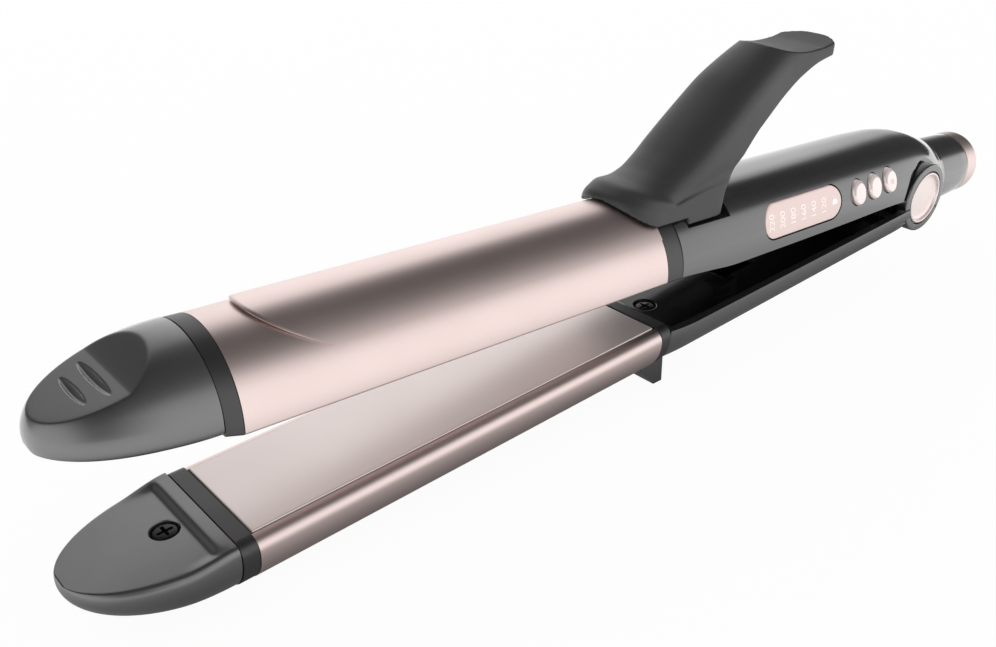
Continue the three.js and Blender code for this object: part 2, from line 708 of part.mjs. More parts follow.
const lowerScrews = [rearScrewX, rearCoverScrewX];
const rearScrewLength = 9;
const wireWindow = block(lowerHandleX - 5, lowerHandleX + 3, -bandWindowHalf, bandWindowHalf, -10, -5.5);
const troughClear = union(
  rod('y', KNUCKLE_RADIUS + SWING_GAP, -EAR_INNER, EAR_INNER, [hingeX, HINGE_HEIGHT]),
  block(hingeX, hingeX + 30, -EAR_INNER, EAR_INNER, -12, 30),
);
const earRecess = (side) => {
  const deep = EAR_OUTER - HINGE_CAP_DEPTH;
  const from = side < 0 ? -EAR_OUTER - 1 : deep;
  return rod('y', HINGE_CAP_RADIUS + GAP, from, from + HINGE_CAP_DEPTH + 1, [hingeX, HINGE_HEIGHT], 40);
};
const lowerHandleShell = union(
  cut(
    union(lowerHandleBody(0), earWeb(-1), earWeb(1)),
    union(lowerCavity, cavityMouth),
  ),
  ear(-1),
  ear(1),
  ...lowerScrews.map((x) => lowerPost(x).intersect(lowerHandleBody(0))),
);
piece(
  'lower_handle',
  cut(
    lowerHandleShell,
    troughClear,
    wireWindow,
    earRecess(-1),
    earRecess(1),
    rod('y', PIN_RADIUS + RUNNING_GAP, -EAR_OUTER, EAR_OUTER, [hingeX, HINGE_HEIGHT]),
    ...lowerScrews.map((x) => screwHole(x, 0, floorTop - 0.2, rearScrewLength)),
  ),
  charcoal,
  lowerArm,
);

// Lower inner cover: a gloss plate in the trough, with the pocket for the latch hook
const pocketX = latchX - 1.2;
const pocketReach = LATCH_TRAVEL + 1;
const pocketLength = 13;
const pocketHalf = HOOK_WIDTH / 2 + 1.2;
const pocketFloor = floorTop - HOOK_DEPTH + 1;
const lowerCover = block(
  lowerHandleX + 2 + GAP,
  floorEndX,
  -coverHalf + GAP,
  coverHalf - GAP,
  floorTop - COVER_THICKNESS,
  floorTop,
);
piece(
  'lower_inner_cover',
  cut(
    union(
      lowerCover,
      block(
        pocketX - pocketReach - 1,
        pocketX + pocketLength + 1,
        -pocketHalf - 1,
        pocketHalf + 1,
        pocketFloor - 1,
        floorTop - 1,
      ),
    ),
    block(pocketX, pocketX + pocketLength, -pocketHalf, pocketHalf, pocketFloor, floorTop + 5),
    block(pocketX - pocketReach, pocketX + 1, -pocketHalf, pocketHalf, pocketFloor, floorTop - COVER_THICKNESS),
    ...lowerScrews.map((x) => screwHole(x, 0, floorTop - 0.2, rearScrewLength)),
  ),
  blackGloss,
  lowerArm,
);
piece('rear_screw', screw(rearScrewX, 0, floorTop - 0.2, rearScrewLength), darkSteel, lowerArm);
piece('hinge_cover_screw', screw(rearCoverScrewX, 0, floorTop - 0.2, rearScrewLength), darkSteel, lowerArm);

// Lead from the lower heater through the band's window and past the latch pocket to the hinge
const windowSide = bandWindowHalf - LEAD_WIDTH / 2 - GAP;
const pocketSide = pocketHalf + 1 + LEAD_WIDTH / 2 + GAP;
piece(
  'lower_heater_lead',
  lead([
    [BARREL_LENGTH - 3, windowSide, -7.2],
    [lowerHandleX + 5, windowSide, -7.7],
    [lowerHandleX + 20, pocketSide, -8.5],
    [lowerHandleX + 75, pocketSide, -8.8],
    [hingeX - 20, pocketSide, -8.6],
    [hingeX - 12, pocketSide, -7.6],
  ]),
  silicone,
  lowerArm,
);

// Hinge pin, its two caps and the spring that holds the arms open
const pinEnd = EAR_OUTER - HINGE_CAP_DEPTH - GAP;
piece('hinge_pin', rod('y', PIN_RADIUS, -pinEnd, pinEnd, [hingeX, HINGE_HEIGHT]), steel, lowerArm);
function hingeCap(side) {
  const seat = EAR_OUTER - HINGE_CAP_DEPTH + GAP;
  const rim = EAR_OUTER + 0.2;
  const profile = [
    [0, seat],
    [HINGE_CAP_RADIUS, seat],
    [HINGE_CAP_RADIUS, rim - 0.3],
    [HINGE_CAP_RADIUS - 0.3, rim],
    [HINGE_CAP_RADIUS - 0.9, rim],
    [HINGE_CAP_RADIUS - 1.3, rim - 0.3],
    [0, rim - 0.3],
  ].map(([r, h]) => new THREE.Vector2(r, h));
  const disc = new THREE.LatheGeometry(profile, 40);
  if (side < 0) disc.rotateX(Math.PI);
  disc.translate(hingeX, 0, HINGE_HEIGHT);
  return solid(disc);
}
piece('hinge_cap_near', hingeCap(-1), roseMetal, lowerArm);
piece('hinge_cap_far', hingeCap(1), roseMetal, lowerArm);
piece(
  'arm_spring',
  torsionSpring(PIN_RADIUS, 0.7, KNUCKLE_INNER - GAP, [hingeX, HINGE_HEIGHT], [Math.PI, 10, Math.PI * 1.5, 4]),
  steel,
  lowerArm,
);

// Stand foot under the joint of barrel and handle. At rest its sole and the nose meet the table.
const soleX = lowerHandleX + 3.1;
const noseTilt = (t) => {
  const flat = LOWER_TIP_STEP + TIP_RIM_DEPTH;
  const depth = flat + tipHeight(t, BARREL_RADIUS - flat, LOWER_TIP_FULLNESS);
  return Math.atan2(FOOT_DEPTH - depth, soleX + FRONT_BAND + GAP + t * (LOWER_TIP_LENGTH - GAP));
};
const restTilt = -Math.min(...[0, 0.06, 0.09, 0.12, 0.15, 0.18, 0.25].map(noseTilt));
const footGround = (x) => -FOOT_DEPTH + (x - soleX) * Math.tan(restTilt);
function standFoot() {
  const top = -BARREL_RADIUS + 4;
  const front = soleX + FOOT_SOLE - FOOT_TOP;
  const wedge = prismY(
    [
      [front, top],
      [front, -BARREL_RADIUS + 0.4],
      [soleX, footGround(soleX)],
      [soleX + FOOT_SOLE, footGround(soleX + FOOT_SOLE)],
      [soleX + FOOT_SOLE, top],
    ],
    -FOOT_HALF_WIDTH,
    FOOT_HALF_WIDTH,
  );
  const barrelClear = rod('x', BARREL_RADIUS + GAP * 1.4, front - 5, lowerHandleX + 0.3, [0, 0], 64);
  return cut(wedge, barrelClear, lowerHandleBody(-GAP));
}
piece('stand_foot', standFoot(), charcoal, lowerArm);

// Upper handle: an arched shell with a saddle for the lever, knuckles for the hinge and a round shoulder
function upperHandleBody(inset) {
  const first = upperHandleX + GAP / 2;
  const last = shoulderX;
  const grow = [
    [first, BARREL_RADIUS, UPPER_EDGE_FRONT, UPPER_FRONT_CREST, 2.08],
    [first + 10, BARREL_RADIUS, 1.6, UPPER_FRONT_CREST - 0.1, 2.3],
    [first + 22, UPPER_HALF_WIDTH, UPPER_EDGE, UPPER_CREST, 2.55],
    [first + 45, UPPER_HALF_WIDTH, UPPER_EDGE, UPPER_CREST, 2.7],
    [first + 75, UPPER_HALF_WIDTH, UPPER_EDGE + 0.2, UPPER_CREST - 0.1, 2.7],
    [first + 95, UPPER_HALF_WIDTH, UPPER_EDGE + 0.5, UPPER_CREST - 0.1, 2.65],
    [hingeX - 6, UPPER_HALF_WIDTH - 0.2, 0.6, UPPER_CREST - 0.3, 2.6],
    [hingeX + 2, UPPER_HALF_WIDTH - 0.6, 0.2, UPPER_CREST - 0.9, 2.5],
    [hingeX + 9, UPPER_HALF_WIDTH - 1.7, 0, UPPER_CREST - 2.5, 2.4],
    [hingeX + 14.5, UPPER_HALF_WIDTH - 2.9, -0.1, UPPER_CREST - 4.5, 2.3],
    [hingeX + 18.5, UPPER_HALF_WIDTH - 4.1, TAIL_HEIGHT, UPPER_CREST - 6.5, 2.1],
    [last, TAIL_ROOT_RADIUS + GAP, TAIL_HEIGHT, TAIL_HEIGHT + TAIL_ROOT_RADIUS + GAP, 2],
  ];
  const rings = grow.map(([x, half, edge, crest, power]) => {
    const section = arch(half - inset, crest - edge - inset, power);
    const foot = inset > 0 ? -HOLLOW_OVERRUN : 0;
    return section.map(([y, h]) => new THREE.Vector3(x, y, edge + (h > 1e-6 ? h : foot)));
  });
  return loft(rings);
}
const upperCoverTop = 3.8;
const coverStart = upperHandleX + 6;
const coverSide = EAR_INNER + 0.1;
const cavityStart = upperHandleX + SADDLE_END + HANDLE_WALL;
const upperCavity = cut(upperHandleBody(HANDLE_WALL), block(0, cavityStart, -40, 40, -40, 40));
const throatRadius = 9.4;
const rearShell = union(
  rod('x', TAIL_ROOT_RADIUS + GAP, hingeX + 12, shoulderX, [0, TAIL_HEIGHT], 48),
  rod('y', KNUCKLE_RADIUS, -KNUCKLE_OUTER, KNUCKLE_OUTER, [hingeX, HINGE_HEIGHT], 32),
  block(hingeX, hingeX + 13, -8, 8, -6, 5),
);
const earPocket = (side) => {
  const from = side < 0 ? -30 : EAR_INNER - SWING_GAP;
  const to = from + 30 - EAR_INNER + SWING_GAP;
  return rod('y', EAR_RADIUS + SWING_GAP + 0.6, from, to, [hingeX, HINGE_HEIGHT], 40);
};
const stepX = upperHandleX + COLLAR_STEP;
const saddle = union(
  block(upperHandleX - 1, stepX, -30, 30, COLLAR_EDGE - GAP, 40),
  block(stepX - GAP, upperHandleX + SADDLE_END, -30, 30, SADDLE_HEIGHT, 40),
  block(stepX, upperHandleX + SADDLE_END + SADDLE_RELIEF, -12, 12, SADDLE_RELIEF_HEIGHT, 40),
);
const lugPocket = block(
  clipPinX - CLIP_LUG_RADIUS - 3,
  clipPinX + CLIP_LUG_RADIUS + 0.5,
  -CLIP_LUG_OUTER - GAP,
  CLIP_LUG_OUTER + GAP,
  CLIP_PIN_HEIGHT - CLIP_LUG_RADIUS - SWING_GAP,
  40,
);
const frontVoid = union(
  block(
    upperHandleX + 3,
    cavityStart + 1,
    -UPPER_HALF_WIDTH + 5.5,
    UPPER_HALF_WIDTH - 5.5,
    -5,
    CLIP_PIN_HEIGHT - CLIP_LUG_RADIUS - SWING_GAP - 1,
  ),
  block(upperHandleX - 1, upperHandleX + 8, -6.6, -1.4, 3.4, 9.6),
);
const displayHole = (grow) => {
  const half = DISPLAY_HEIGHT / 2 + grow;
  const x0 = upperHandleX + DISPLAY_START + DISPLAY_HEIGHT / 2;
  const x1 = upperHandleX + DISPLAY_START + DISPLAY_LENGTH - DISPLAY_HEIGHT / 2;
  const points = [];
  for (let i = 0; i <= 10; i += 1) {
    const angle = Math.PI / 2 + (Math.PI * i) / 10;
    points.push([x0 + half * Math.cos(angle), DISPLAY_CENTRE + half * Math.sin(angle)]);
  }
  for (let i = 0; i <= 10; i += 1) {
    const angle = -Math.PI / 2 + (Math.PI * i) / 10;
    points.push([x1 + half * Math.cos(angle), DISPLAY_CENTRE + half * Math.sin(angle)]);
  }
  return points;
};
const buttonX = (i) => upperHandleX + BUTTON_START + BUTTON_PITCH * i;
const buttonZ = (i) => BUTTON_CENTRE + 0.3 * (i - 1);
const buttonHole = (i) => rod('y', BUTTON_RADIUS + GAP, -30, -BOARD_PLANE, [buttonX(i), buttonZ(i)]);
const slotHalf = HOOK_WIDTH / 2 + GAP;
const latchSlot = block(latchX - LATCH_TRAVEL - 1, latchX + 8, -slotHalf, slotHalf, -10, 6);
const upperScrewXs = [cavityStart + 5, hingeX - 27];
const upperScrewY = 5.8;
const upperPosts = upperScrewXs.map((x) =>
  rod('z', 3.4, upperCoverTop + GAP, UPPER_CREST, [x, upperScrewY], 14).intersect(upperHandleBody(0.5)));
const upperScrewTop = upperCoverTop - COVER_THICKNESS + 0.2;
const upperScrewLength = 9;
const fromBelow = (x, y, tool) =>
  tool(0, 0, 0, upperScrewLength).rotate([180, 0, 0]).translate([x, y, upperScrewTop]);
piece(
  'upper_handle',
  cut(
    union(
      cut(
        union(cut(upperHandleBody(0), earPocket(-1), earPocket(1)), rearShell),
        upperCavity,
        block(coverStart, hingeX - KNUCKLE_RADIUS - 0.5, -coverSide, coverSide, -5, upperCoverTop + GAP),
        block(cavityStart, hingeX - KNUCKLE_RADIUS - 0.5, -coverSide, coverSide, -5, 8),
      ),
      rod('y', KNUCKLE_RADIUS, -KNUCKLE_OUTER, KNUCKLE_OUTER, [hingeX, HINGE_HEIGHT], 32),
      ...upperPosts,
    ),
    saddle,
    lugPocket,
    frontVoid,
    rod('y', KNUCKLE_RADIUS + 3, -KNUCKLE_INNER, KNUCKLE_INNER, [hingeX, HINGE_HEIGHT], 32),
    rod('y', PIN_RADIUS + RUNNING_GAP, -30, 30, [hingeX, HINGE_HEIGHT]),
    rod('y', CLIP_PIN_RADIUS + RUNNING_GAP, -clipPinBore, clipPinBore, [clipPinX, CLIP_PIN_HEIGHT], 16),
    rod('x', throatRadius, hingeX + 13, shoulderX + 5, [0, TAIL_HEIGHT], 32),
    rod('x', TAIL_BORE, hingeX + 5, shoulderX + 5, [0, TAIL_HEIGHT], 32),
    prismY(displayHole(GAP), -30, -BOARD_PLANE),
    ...[0, 1, 2].map(buttonHole),
    ...upperScrewXs.map((x) => fromBelow(x, upperScrewY, screwHole)),
  ),
  charcoal,
  upperArm,
);

// Upper inner cover closes the handle from below
piece(
  'upper_inner_cover',
  cut(
    block(
      coverStart + GAP,
      hingeX - KNUCKLE_RADIUS - 0.5 - GAP,
      -coverSide + GAP,
      coverSide - GAP,
      upperCoverTop - COVER_THICKNESS,
      upperCoverTop,
    ),
    latchSlot,
    ...upperScrewXs.map((x) => fromBelow(x, upperScrewY, screwHole)),
  ),
  blackGloss,
  upperArm,
);
['cover_screw_front', 'cover_screw_rear'].forEach((name, i) => {
  piece(name, fromBelow(upperScrewXs[i], upperScrewY, screw), darkSteel, upperArm);
});

// Display: window, light board behind it and the control board
piece('display_window', prismY(displayHole(0), -DISPLAY_FACE, -DISPLAY_FACE + 2), roseGlow, upperArm);
const hollowTop = (y) => {
  const out = y / (UPPER_HALF_WIDTH - HANDLE_WALL);
  return UPPER_EDGE + (UPPER_CREST - UPPER_EDGE - HANDLE_WALL) * (1 - out ** 2.55) ** (1 / 2.55);
};
const boardTop = hollowTop(BOARD_PLANE) - GAP - 0.1;
const controlBoard = block(
  upperHandleX + DISPLAY_START - 3,
  buttonX(2) + 6,
  -BOARD_PLANE,
  -BOARD_PLANE + 1.6,
  upperCoverTop + GAP,
  boardTop,
);
piece('control_board', controlBoard, circuitBoard, upperArm);
const lightBoardY = -DISPLAY_FACE + 2 + GAP;
const lightPitch = (DISPLAY_LENGTH - DISPLAY_HEIGHT) / 6;
const lightBoard = block(
  upperHandleX + DISPLAY_START + 2,
  upperHandleX + DISPLAY_START + DISPLAY_LENGTH - 2,
  lightBoardY + 1,
  -BOARD_PLANE - GAP,
  DISPLAY_CENTRE - 3.4,
  DISPLAY_CENTRE + 3.4,
);
const lamps = Array.from({ length: 7 }, (_, i) => {
  const x = upperHandleX + DISPLAY_START + DISPLAY_HEIGHT / 2 + lightPitch * i;
  return block(x - 1, x + 1, lightBoardY, lightBoardY + 1.2, DISPLAY_CENTRE - 0.7, DISPLAY_CENTRE + 0.7);
});
piece('display_light_board', union(lightBoard, ...lamps), circuitBoard, upperArm);

// Buttons and the switches behind them
const switchFace = -BUTTON_FACE + 4.4 + BUTTON_TRAVEL;
const buttonNames = ['plus', 'minus', 'power'];
buttonNames.forEach((name, i) => {
  const centre = [buttonX(i), buttonZ(i)];
  const skirt = rod('y', BUTTON_RADIUS, -BUTTON_FACE + 0.5, -BUTTON_FACE + 3.2, centre);
  const low = -BUTTON_FACE;
  const face = rod('y', BUTTON_RADIUS - 0.5, low, low + 0.5, centre, ROUND_STEPS, BUTTON_RADIUS);
  const stem = rod('y', 1.2, -BUTTON_FACE + 3, -BUTTON_FACE + 4.4, centre, 12);
  piece(`button_${name}`, union(face, skirt, stem), roseMetal, upperArm);
  const [x, z] = centre;
  const housing = block(x - 2.4, x + 2.4, switchFace + 0.9, -BOARD_PLANE - 0.05, z - 2.4, z + 2.4);
  const plunger = rod('y', 1.1, switchFace + 0.05, switchFace + 1, centre, 12);
  piece(`switch_${name}`, union(housing, plunger), heatPlastic, upperArm);
});

// Power board on two low rails of its own, with its largest parts
const powerBoardX = latchX + 12;
const powerBoardEnd = hingeX - 36;
const powerBoard = union(
  block(powerBoardX, powerBoardEnd, -4.5, 12, 6.4, 8),
  block(powerBoardX + 2, powerBoardX + 4, -4, 11, upperCoverTop + GAP, 6.5),
  block(powerBoardEnd - 4, powerBoardEnd - 2, -4, 11, upperCoverTop + GAP, 6.5),
  block(powerBoardX + 6, powerBoardX + 14, 5, POWER_PART_SIDE, 7.9, hollowTop(POWER_PART_SIDE) - GAP),
  block(powerBoardEnd - 14, powerBoardEnd - 6, 4.5, POWER_PART_SIDE, 7.9, 11.4),
);
piece('power_board', cut(powerBoard, latchSlot), circuitBoard, upperArm);
piece(
  'upper_heater_lead',
  lead([
    [BARREL_LENGTH - 3, -4, 8],
    [upperHandleX - 1, -4, 7.6],
    [upperHandleX + 5, -4, 5.6],
    [upperHandleX + 10, -4, 4.75],
    [cavityStart - 4, -4, 4.75],
    [cavityStart + 3, -4, 4.8],
  ]),
  silicone,
  upperArm,
);

// Tail tube, lock ring and the bush that the mains cord turns in
function tailTube() {
  const root = hingeX + 13.4;
  const profile = [
    [TAIL_BORE, root],
    [throatRadius - GAP, root],
    [throatRadius - GAP, shoulderX + GAP],
    [TAIL_ROOT_RADIUS, shoulderX + GAP],
    [TAIL_END_RADIUS + 0.15, ringX - GAP],
    [TAIL_BORE + 1.1, ringX - GAP],
    [TAIL_BORE + 1.1, tailEndX - 1],
    [TAIL_BORE, tailEndX - 1],
    [TAIL_BORE, root],
  ].map(([r, h]) => new THREE.Vector2(r, h));
  const tube = new THREE.LatheGeometry(profile, 40);
  tube.rotateZ(-Math.PI / 2);
  tube.translate(0, 0, TAIL_HEIGHT);
  return solid(tube);
}
piece('tail_tube', tailTube(), charcoal, upperArm);
const ring = new THREE.LatheGeometry(
  [
    [TAIL_BORE + 1.1 + GAP, ringX],
    [TAIL_END_RADIUS + 0.1, ringX],
    [TAIL_END_RADIUS, tailEndX - 0.5],
    [TAIL_END_RADIUS - 0.5, tailEndX],
    [TAIL_BORE + 1.1 + GAP, tailEndX],
    [TAIL_BORE + 1.1 + GAP, ringX],
  ].map(([r, h]) => new THREE.Vector2(r, h)),
  40,
);
ring.rotateZ(-Math.PI / 2);
ring.translate(0, 0, TAIL_HEIGHT);
piece('lock_ring', solid(ring), roseMetal, upperArm);
const bushX = tailEndX - 1 - BUSH_LENGTH;
const bush = cut(
  rod('x', TAIL_BORE - GAP, bushX, tailEndX - 1, [0, TAIL_HEIGHT], 32),
  rod('x', BUSH_BORE, bushX - 1, tailEndX + 1, [0, TAIL_HEIGHT], 32),
);
piece('cord_swivel_bush', bush, heatPlastic, upperArm);

// Latch slider: a hook that drops through the inner cover, and a flat rod back to the tail
function latchSlider() {
  const rodHeight = UPPER_CREST - HANDLE_WALL - 1.9;
  const low = TAIL_HEIGHT + TAIL_BORE - 2.4;
  const hook = block(latchX + 3.8, latchX + 6.8, -HOOK_WIDTH / 2, HOOK_WIDTH / 2, -HOOK_DEPTH, rodHeight + 1.5);
  const toe = block(latchX, latchX + 4, -HOOK_WIDTH / 2, HOOK_WIDTH / 2, -HOOK_DEPTH, -HOOK_DEPTH + 1);
  const bar = prismY(
    [
      [latchX + 4, rodHeight],
      [latchX + 4, rodHeight + 1.5],
      [hingeX + 2, rodHeight + 0.2],
      [hingeX + 14, low + 1.5],
      [bushX - 1.2, low + 1.5],
      [bushX - 1.2, low],
      [hingeX + 13.4, low],
      [hingeX + 1.4, rodHeight - 1.3],
    ],
    -1.6,
    1.6,
  );
  return union(hook, toe, bar);
}
piece('latch_slider', latchSlider(), heatPlastic, upperArm);

// Clip spoon: thin metal sheet curved over the barrel, with a swept front edge
function spoon() {
  const radius = BARREL_RADIUS + SPOON_GAP;
  const rear = upperHandleX - 2.2;
  const steps = 26;
  const rows = 3;
  const places = [];
  const faces = [];
  const half = THREE.MathUtils.degToRad(SPOON_HALF_ANGLE);
  for (const r of [radius, radius + SPOON_THICKNESS]) {
    for (let i = 0; i <= steps; i += 1) {
      const share = (2 * i) / steps - 1;
      const angle = Math.PI / 2 - half * share;
      const front = SPOON_START + SPOON_SWEEP * Math.abs(share) ** 2.2;
      for (let k = 0; k < rows; k += 1) {
        const x = front + ((rear - front) * k) / (rows - 1);
        places.push(x, -r * Math.cos(angle) * -1, upperCentre + r * Math.sin(angle));
      }
    }
  }
  const at = (layer, i, k) => layer * (steps + 1) * rows + i * rows + k;
  const quad = (a, b, c, d) => faces.push(a, b, c, a, c, d);
  for (let i = 0; i < steps; i += 1) {
    for (let k = 0; k + 1 < rows; k += 1) {
      quad(at(1, i, k), at(1, i, k + 1), at(1, i + 1, k + 1), at(1, i + 1, k));
      quad(at(0, i, k), at(0, i + 1, k), at(0, i + 1, k + 1), at(0, i, k + 1));
    }
    quad(at(0, i, 0), at(1, i, 0), at(1, i + 1, 0), at(0, i + 1, 0));
    quad(at(0, i, rows - 1), at(0, i + 1, rows - 1), at(1, i + 1, rows - 1), at(1, i, rows - 1));
  }
  for (let k = 0; k + 1 < rows; k += 1) {
    quad(at(0, 0, k), at(0, 0, k + 1), at(1, 0, k + 1), at(1, 0, k));
    quad(at(0, steps, k), at(1, steps, k), at(1, steps, k + 1), at(0, steps, k + 1));
  }
  const sheet = new THREE.BufferGeometry();
  sheet.setAttribute('position', new THREE.Float32BufferAttribute(places, 3));
  sheet.setIndex(faces);
  return solid(sheet);
}
piece('clip_spoon', spoon(), roseMetal, upperArm);

// Clip lever: a horn that rises from a collar over the barrel and ends in a thumb pad.
// Each station gives one section: its front and rear point from the handle's front, its half-width,
// the share of it that is rounded at the front, and how far the front corners hang down.
const leverStations = [
  { front: [-14.5, 8], rear: [18, 8], half: 12.3, nose: 0.3, hang: 0 },
  { front: [-14.5, 15], rear: [18.1, 13.4], half: 12.2, nose: 0.3, hang: 1 },
  { front: [-14.5, 19.4], rear: [18.8, 16.5], half: 11.9, nose: 0.31, hang: 2.4 },
  { front: [-14, 21.1], rear: [19.4, 18.5], half: 11.6, nose: 0.31, hang: 3.3 },
  { front: [-12.6, 22.3], rear: [20, 19.8], half: 11.4, nose: 0.32, hang: 3.5 },
  { front: [-9.8, 23.3], rear: [21, 21.4], half: 11.3, nose: 0.31, hang: 3.9 },
  { front: [-5.4, 24.4], rear: [22.3, 23.2], half: 11.2, nose: 0.27, hang: 4 },
  { front: [-0.4, 25.6], rear: [23.6, 24.8], half: 11.1, nose: 0.24, hang: 4 },
  { front: [4.1, 27.9], rear: [24.8, 26.2], half: 11, nose: 0.22, hang: 3.7 },
  { front: [8.8, 31], rear: [26, 27.6], half: 10.9, nose: 0.24, hang: 3 },
  { front: [13.9, 35.1], rear: [27.5, 29.2], half: 10.8, nose: 0.3, hang: 2 },
  { front: [20.3, 40.2], rear: [30.2, 32], half: 10.6, nose: 0.38, hang: 1 },
  { front: [26.8, 45.3], rear: [34.7, 35.4], half: 10.2, nose: 0.45, hang: 0 },
  { front: [33.7, 49.5], rear: [41.2, 39.8], half: 9.5, nose: 0.48, hang: 0 },
  { front: [38.3, 52], rear: [48.8, 43.9], half: 8.9, nose: 0.5, hang: 0 },
  { front: [42.8, 54], rear: [56.8, 46.8], half: 8.6, nose: 0.5, hang: 0 },
  { front: [48.2, 56], rear: [63.2, 48], half: 8.6, nose: 0.5, hang: 0 },
  { front: [55, 58], rear: [70, 48.8], half: 8.6, nose: 0.5, hang: 0 },
];
const PAD_LINE = [[34, 56], [35, 54], [36.7, 52.9], [38.5, 51.8], [44, 50.5], [50.2, 50], [56.2, 50.3], [61.2, 51.2],
  [67, 52.6], [75, 54.5], [75, 62], [34, 62]];
const PAD_END_RADIUS = 11.2;
const PAD_END_CENTRE = 54;
function leverRing({ front, rear, half, nose, hang }) {
  const ring = [];
  const at = (share, y, drop) =>
    new THREE.Vector3(
      upperHandleX + front[0] + (rear[0] - front[0]) * share,
      y,
      front[1] + (rear[1] - front[1]) * share - hang * drop,
    );
  const noseSteps = 16;
  for (let i = 0; i <= noseSteps; i += 1) {
    const angle = (Math.PI * i) / noseSteps;
    const out = Math.sin(angle) ** 0.9;
    const wide = Math.sign(Math.cos(angle)) * Math.abs(Math.cos(angle)) ** 0.9;
    ring.push(at(nose * (1 - out), half * wide, 1 - out));
  }
  const corner = 0.08;
  const side = [[0.35, 1, 0.6], [1 - 1.6 * corner, 1, 0.15], [1 - 0.45 * corner, 1 - 0.35 * corner, 0.05],
    [1, 1 - 1.6 * corner, 0]];
  for (const [share, wide, drop] of side) ring.push(at(nose + (1 - nose) * share, -half * wide, drop));
  for (const [share, wide, drop] of side.toReversed()) {
    ring.push(at(nose + (1 - nose) * share, half * wide, drop));
  }
  return ring;
}
function lever() {
  const horn = loft(leverStations.map(leverRing));
  const pad = prismY(PAD_LINE.map(([x, z]) => [upperHandleX + x, z]), -20, 20);
  const endX = upperHandleX + PAD_END_CENTRE;
  const padEnd = cut(
    block(endX, endX + 40, -20, 20, 40, 70),
    rod('z', PAD_END_RADIUS, 39, 71, [endX, 0], 48),
  );
  const clearRadius = BARREL_RADIUS + SPOON_GAP + SPOON_THICKNESS + GAP;
  const spoonClear = rod('x', clearRadius, 0, upperHandleX + 3, [0, upperCentre], 64);
  const under = union(
    block(0, stepX, -30, 30, -10, COLLAR_EDGE),
    block(0, upperHandleX + 40, -30, 30, -10, SADDLE_HEIGHT + 0.6),
  );
  const lug = (y0, y1) =>
    union(
      rod('y', CLIP_LUG_RADIUS, y0, y1, [clipPinX, CLIP_PIN_HEIGHT], 20),
      block(clipPinX - CLIP_LUG_RADIUS, clipPinX + 1, y0, y1, CLIP_PIN_HEIGHT, SADDLE_HEIGHT + 1),
    );
  return cut(
    union(
      cut(horn, pad, padEnd, spoonClear, under),
      lug(-CLIP_LUG_OUTER, -CLIP_LUG_INNER),
      lug(CLIP_LUG_INNER, CLIP_LUG_OUTER),
    ),
    rod('y', CLIP_PIN_RADIUS + RUNNING_GAP, -clipPinBore, clipPinBore, [clipPinX, CLIP_PIN_HEIGHT], 16),
  );
}
piece('clip_lever', lever(), charcoal, upperArm);
piece(
  'clip_pin',
  rod('y', CLIP_PIN_RADIUS, -CLIP_PIN_HALF_LENGTH, CLIP_PIN_HALF_LENGTH, [clipPinX, CLIP_PIN_HEIGHT], 16),
  steel,
  upperArm,
);
piece(
  'clip_spring',
  torsionSpring(
    CLIP_PIN_RADIUS,
    0.5,
    CLIP_LUG_INNER - GAP,
    [clipPinX, CLIP_PIN_HEIGHT],
    [Math.PI * 1.5, 2, Math.PI, 1],
  ),
  steel,
  upperArm,
);

// The upper arm stands open at the hinge; the whole iron then rests on its foot and nose
const hinge = new THREE.Vector3(hingeX, 0, HINGE_HEIGHT);
upperArm.rotation.y = THREE.MathUtils.degToRad(OPEN_ANGLE);
upperArm.position.copy(hinge).sub(hinge.clone().applyEuler(upperArm.rotation));
object.rotation.y = restTilt;
object.updateMatrixWorld(true);
const bounds = new THREE.Box3().setFromObject(object, true);
object.position.set(-(bounds.min.x + bounds.max.x) / 2, -(bounds.min.y + bounds.max.y) / 2, -bounds.min.z);
object.updateMatrixWorld(true);

export default object;
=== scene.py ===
"""Hair straightener with a curling clip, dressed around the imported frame.

Each arm is drawn in millimetres in its own frame: +X runs from the front edge of the plate to the
tail, Z = 0 is the plane where the closed plates meet, and the controls are on the -Y side.
"""
import json
import math

import bpy
import numpy as np
from mathutils import Matrix, Vector


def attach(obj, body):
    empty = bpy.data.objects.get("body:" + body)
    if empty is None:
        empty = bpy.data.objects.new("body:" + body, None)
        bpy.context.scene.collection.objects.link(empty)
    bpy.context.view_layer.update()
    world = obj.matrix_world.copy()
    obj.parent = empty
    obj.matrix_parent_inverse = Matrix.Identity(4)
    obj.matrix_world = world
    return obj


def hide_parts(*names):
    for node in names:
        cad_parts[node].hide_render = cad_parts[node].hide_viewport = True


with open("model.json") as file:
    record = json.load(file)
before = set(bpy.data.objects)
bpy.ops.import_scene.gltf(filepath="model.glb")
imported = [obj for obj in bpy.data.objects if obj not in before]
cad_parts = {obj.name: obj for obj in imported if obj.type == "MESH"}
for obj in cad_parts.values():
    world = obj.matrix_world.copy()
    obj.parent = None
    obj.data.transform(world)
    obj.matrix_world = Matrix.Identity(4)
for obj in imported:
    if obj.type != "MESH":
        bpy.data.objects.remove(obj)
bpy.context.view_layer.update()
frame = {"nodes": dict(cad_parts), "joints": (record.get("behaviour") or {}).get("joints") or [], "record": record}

# Sizes in millimetres, along and across each arm. GAP is the room left between pieces that meet
GAP = 0.3
BARREL_RADIUS = 16
BARREL_LENGTH = 112.2
BARREL_WALL = 1
LIP_WIDTH = 2.7
UPPER_LIP_WIDTH = 0.95
LOWER_LIP_DEPTH = 2.7
UPPER_LIP_DEPTH = 0.76
LOWER_LIP_DROP = 0.35
UPPER_LIP_RISE = 1.8
PLATE_THICKNESS = 2.4
PLATE_MEETING_GAP = 0.3
FRONT_BAND = 3.7
LOWER_REAR_BAND = 3.3
UPPER_REAR_BAND = 5.6
BAND_SEAM = 0.12
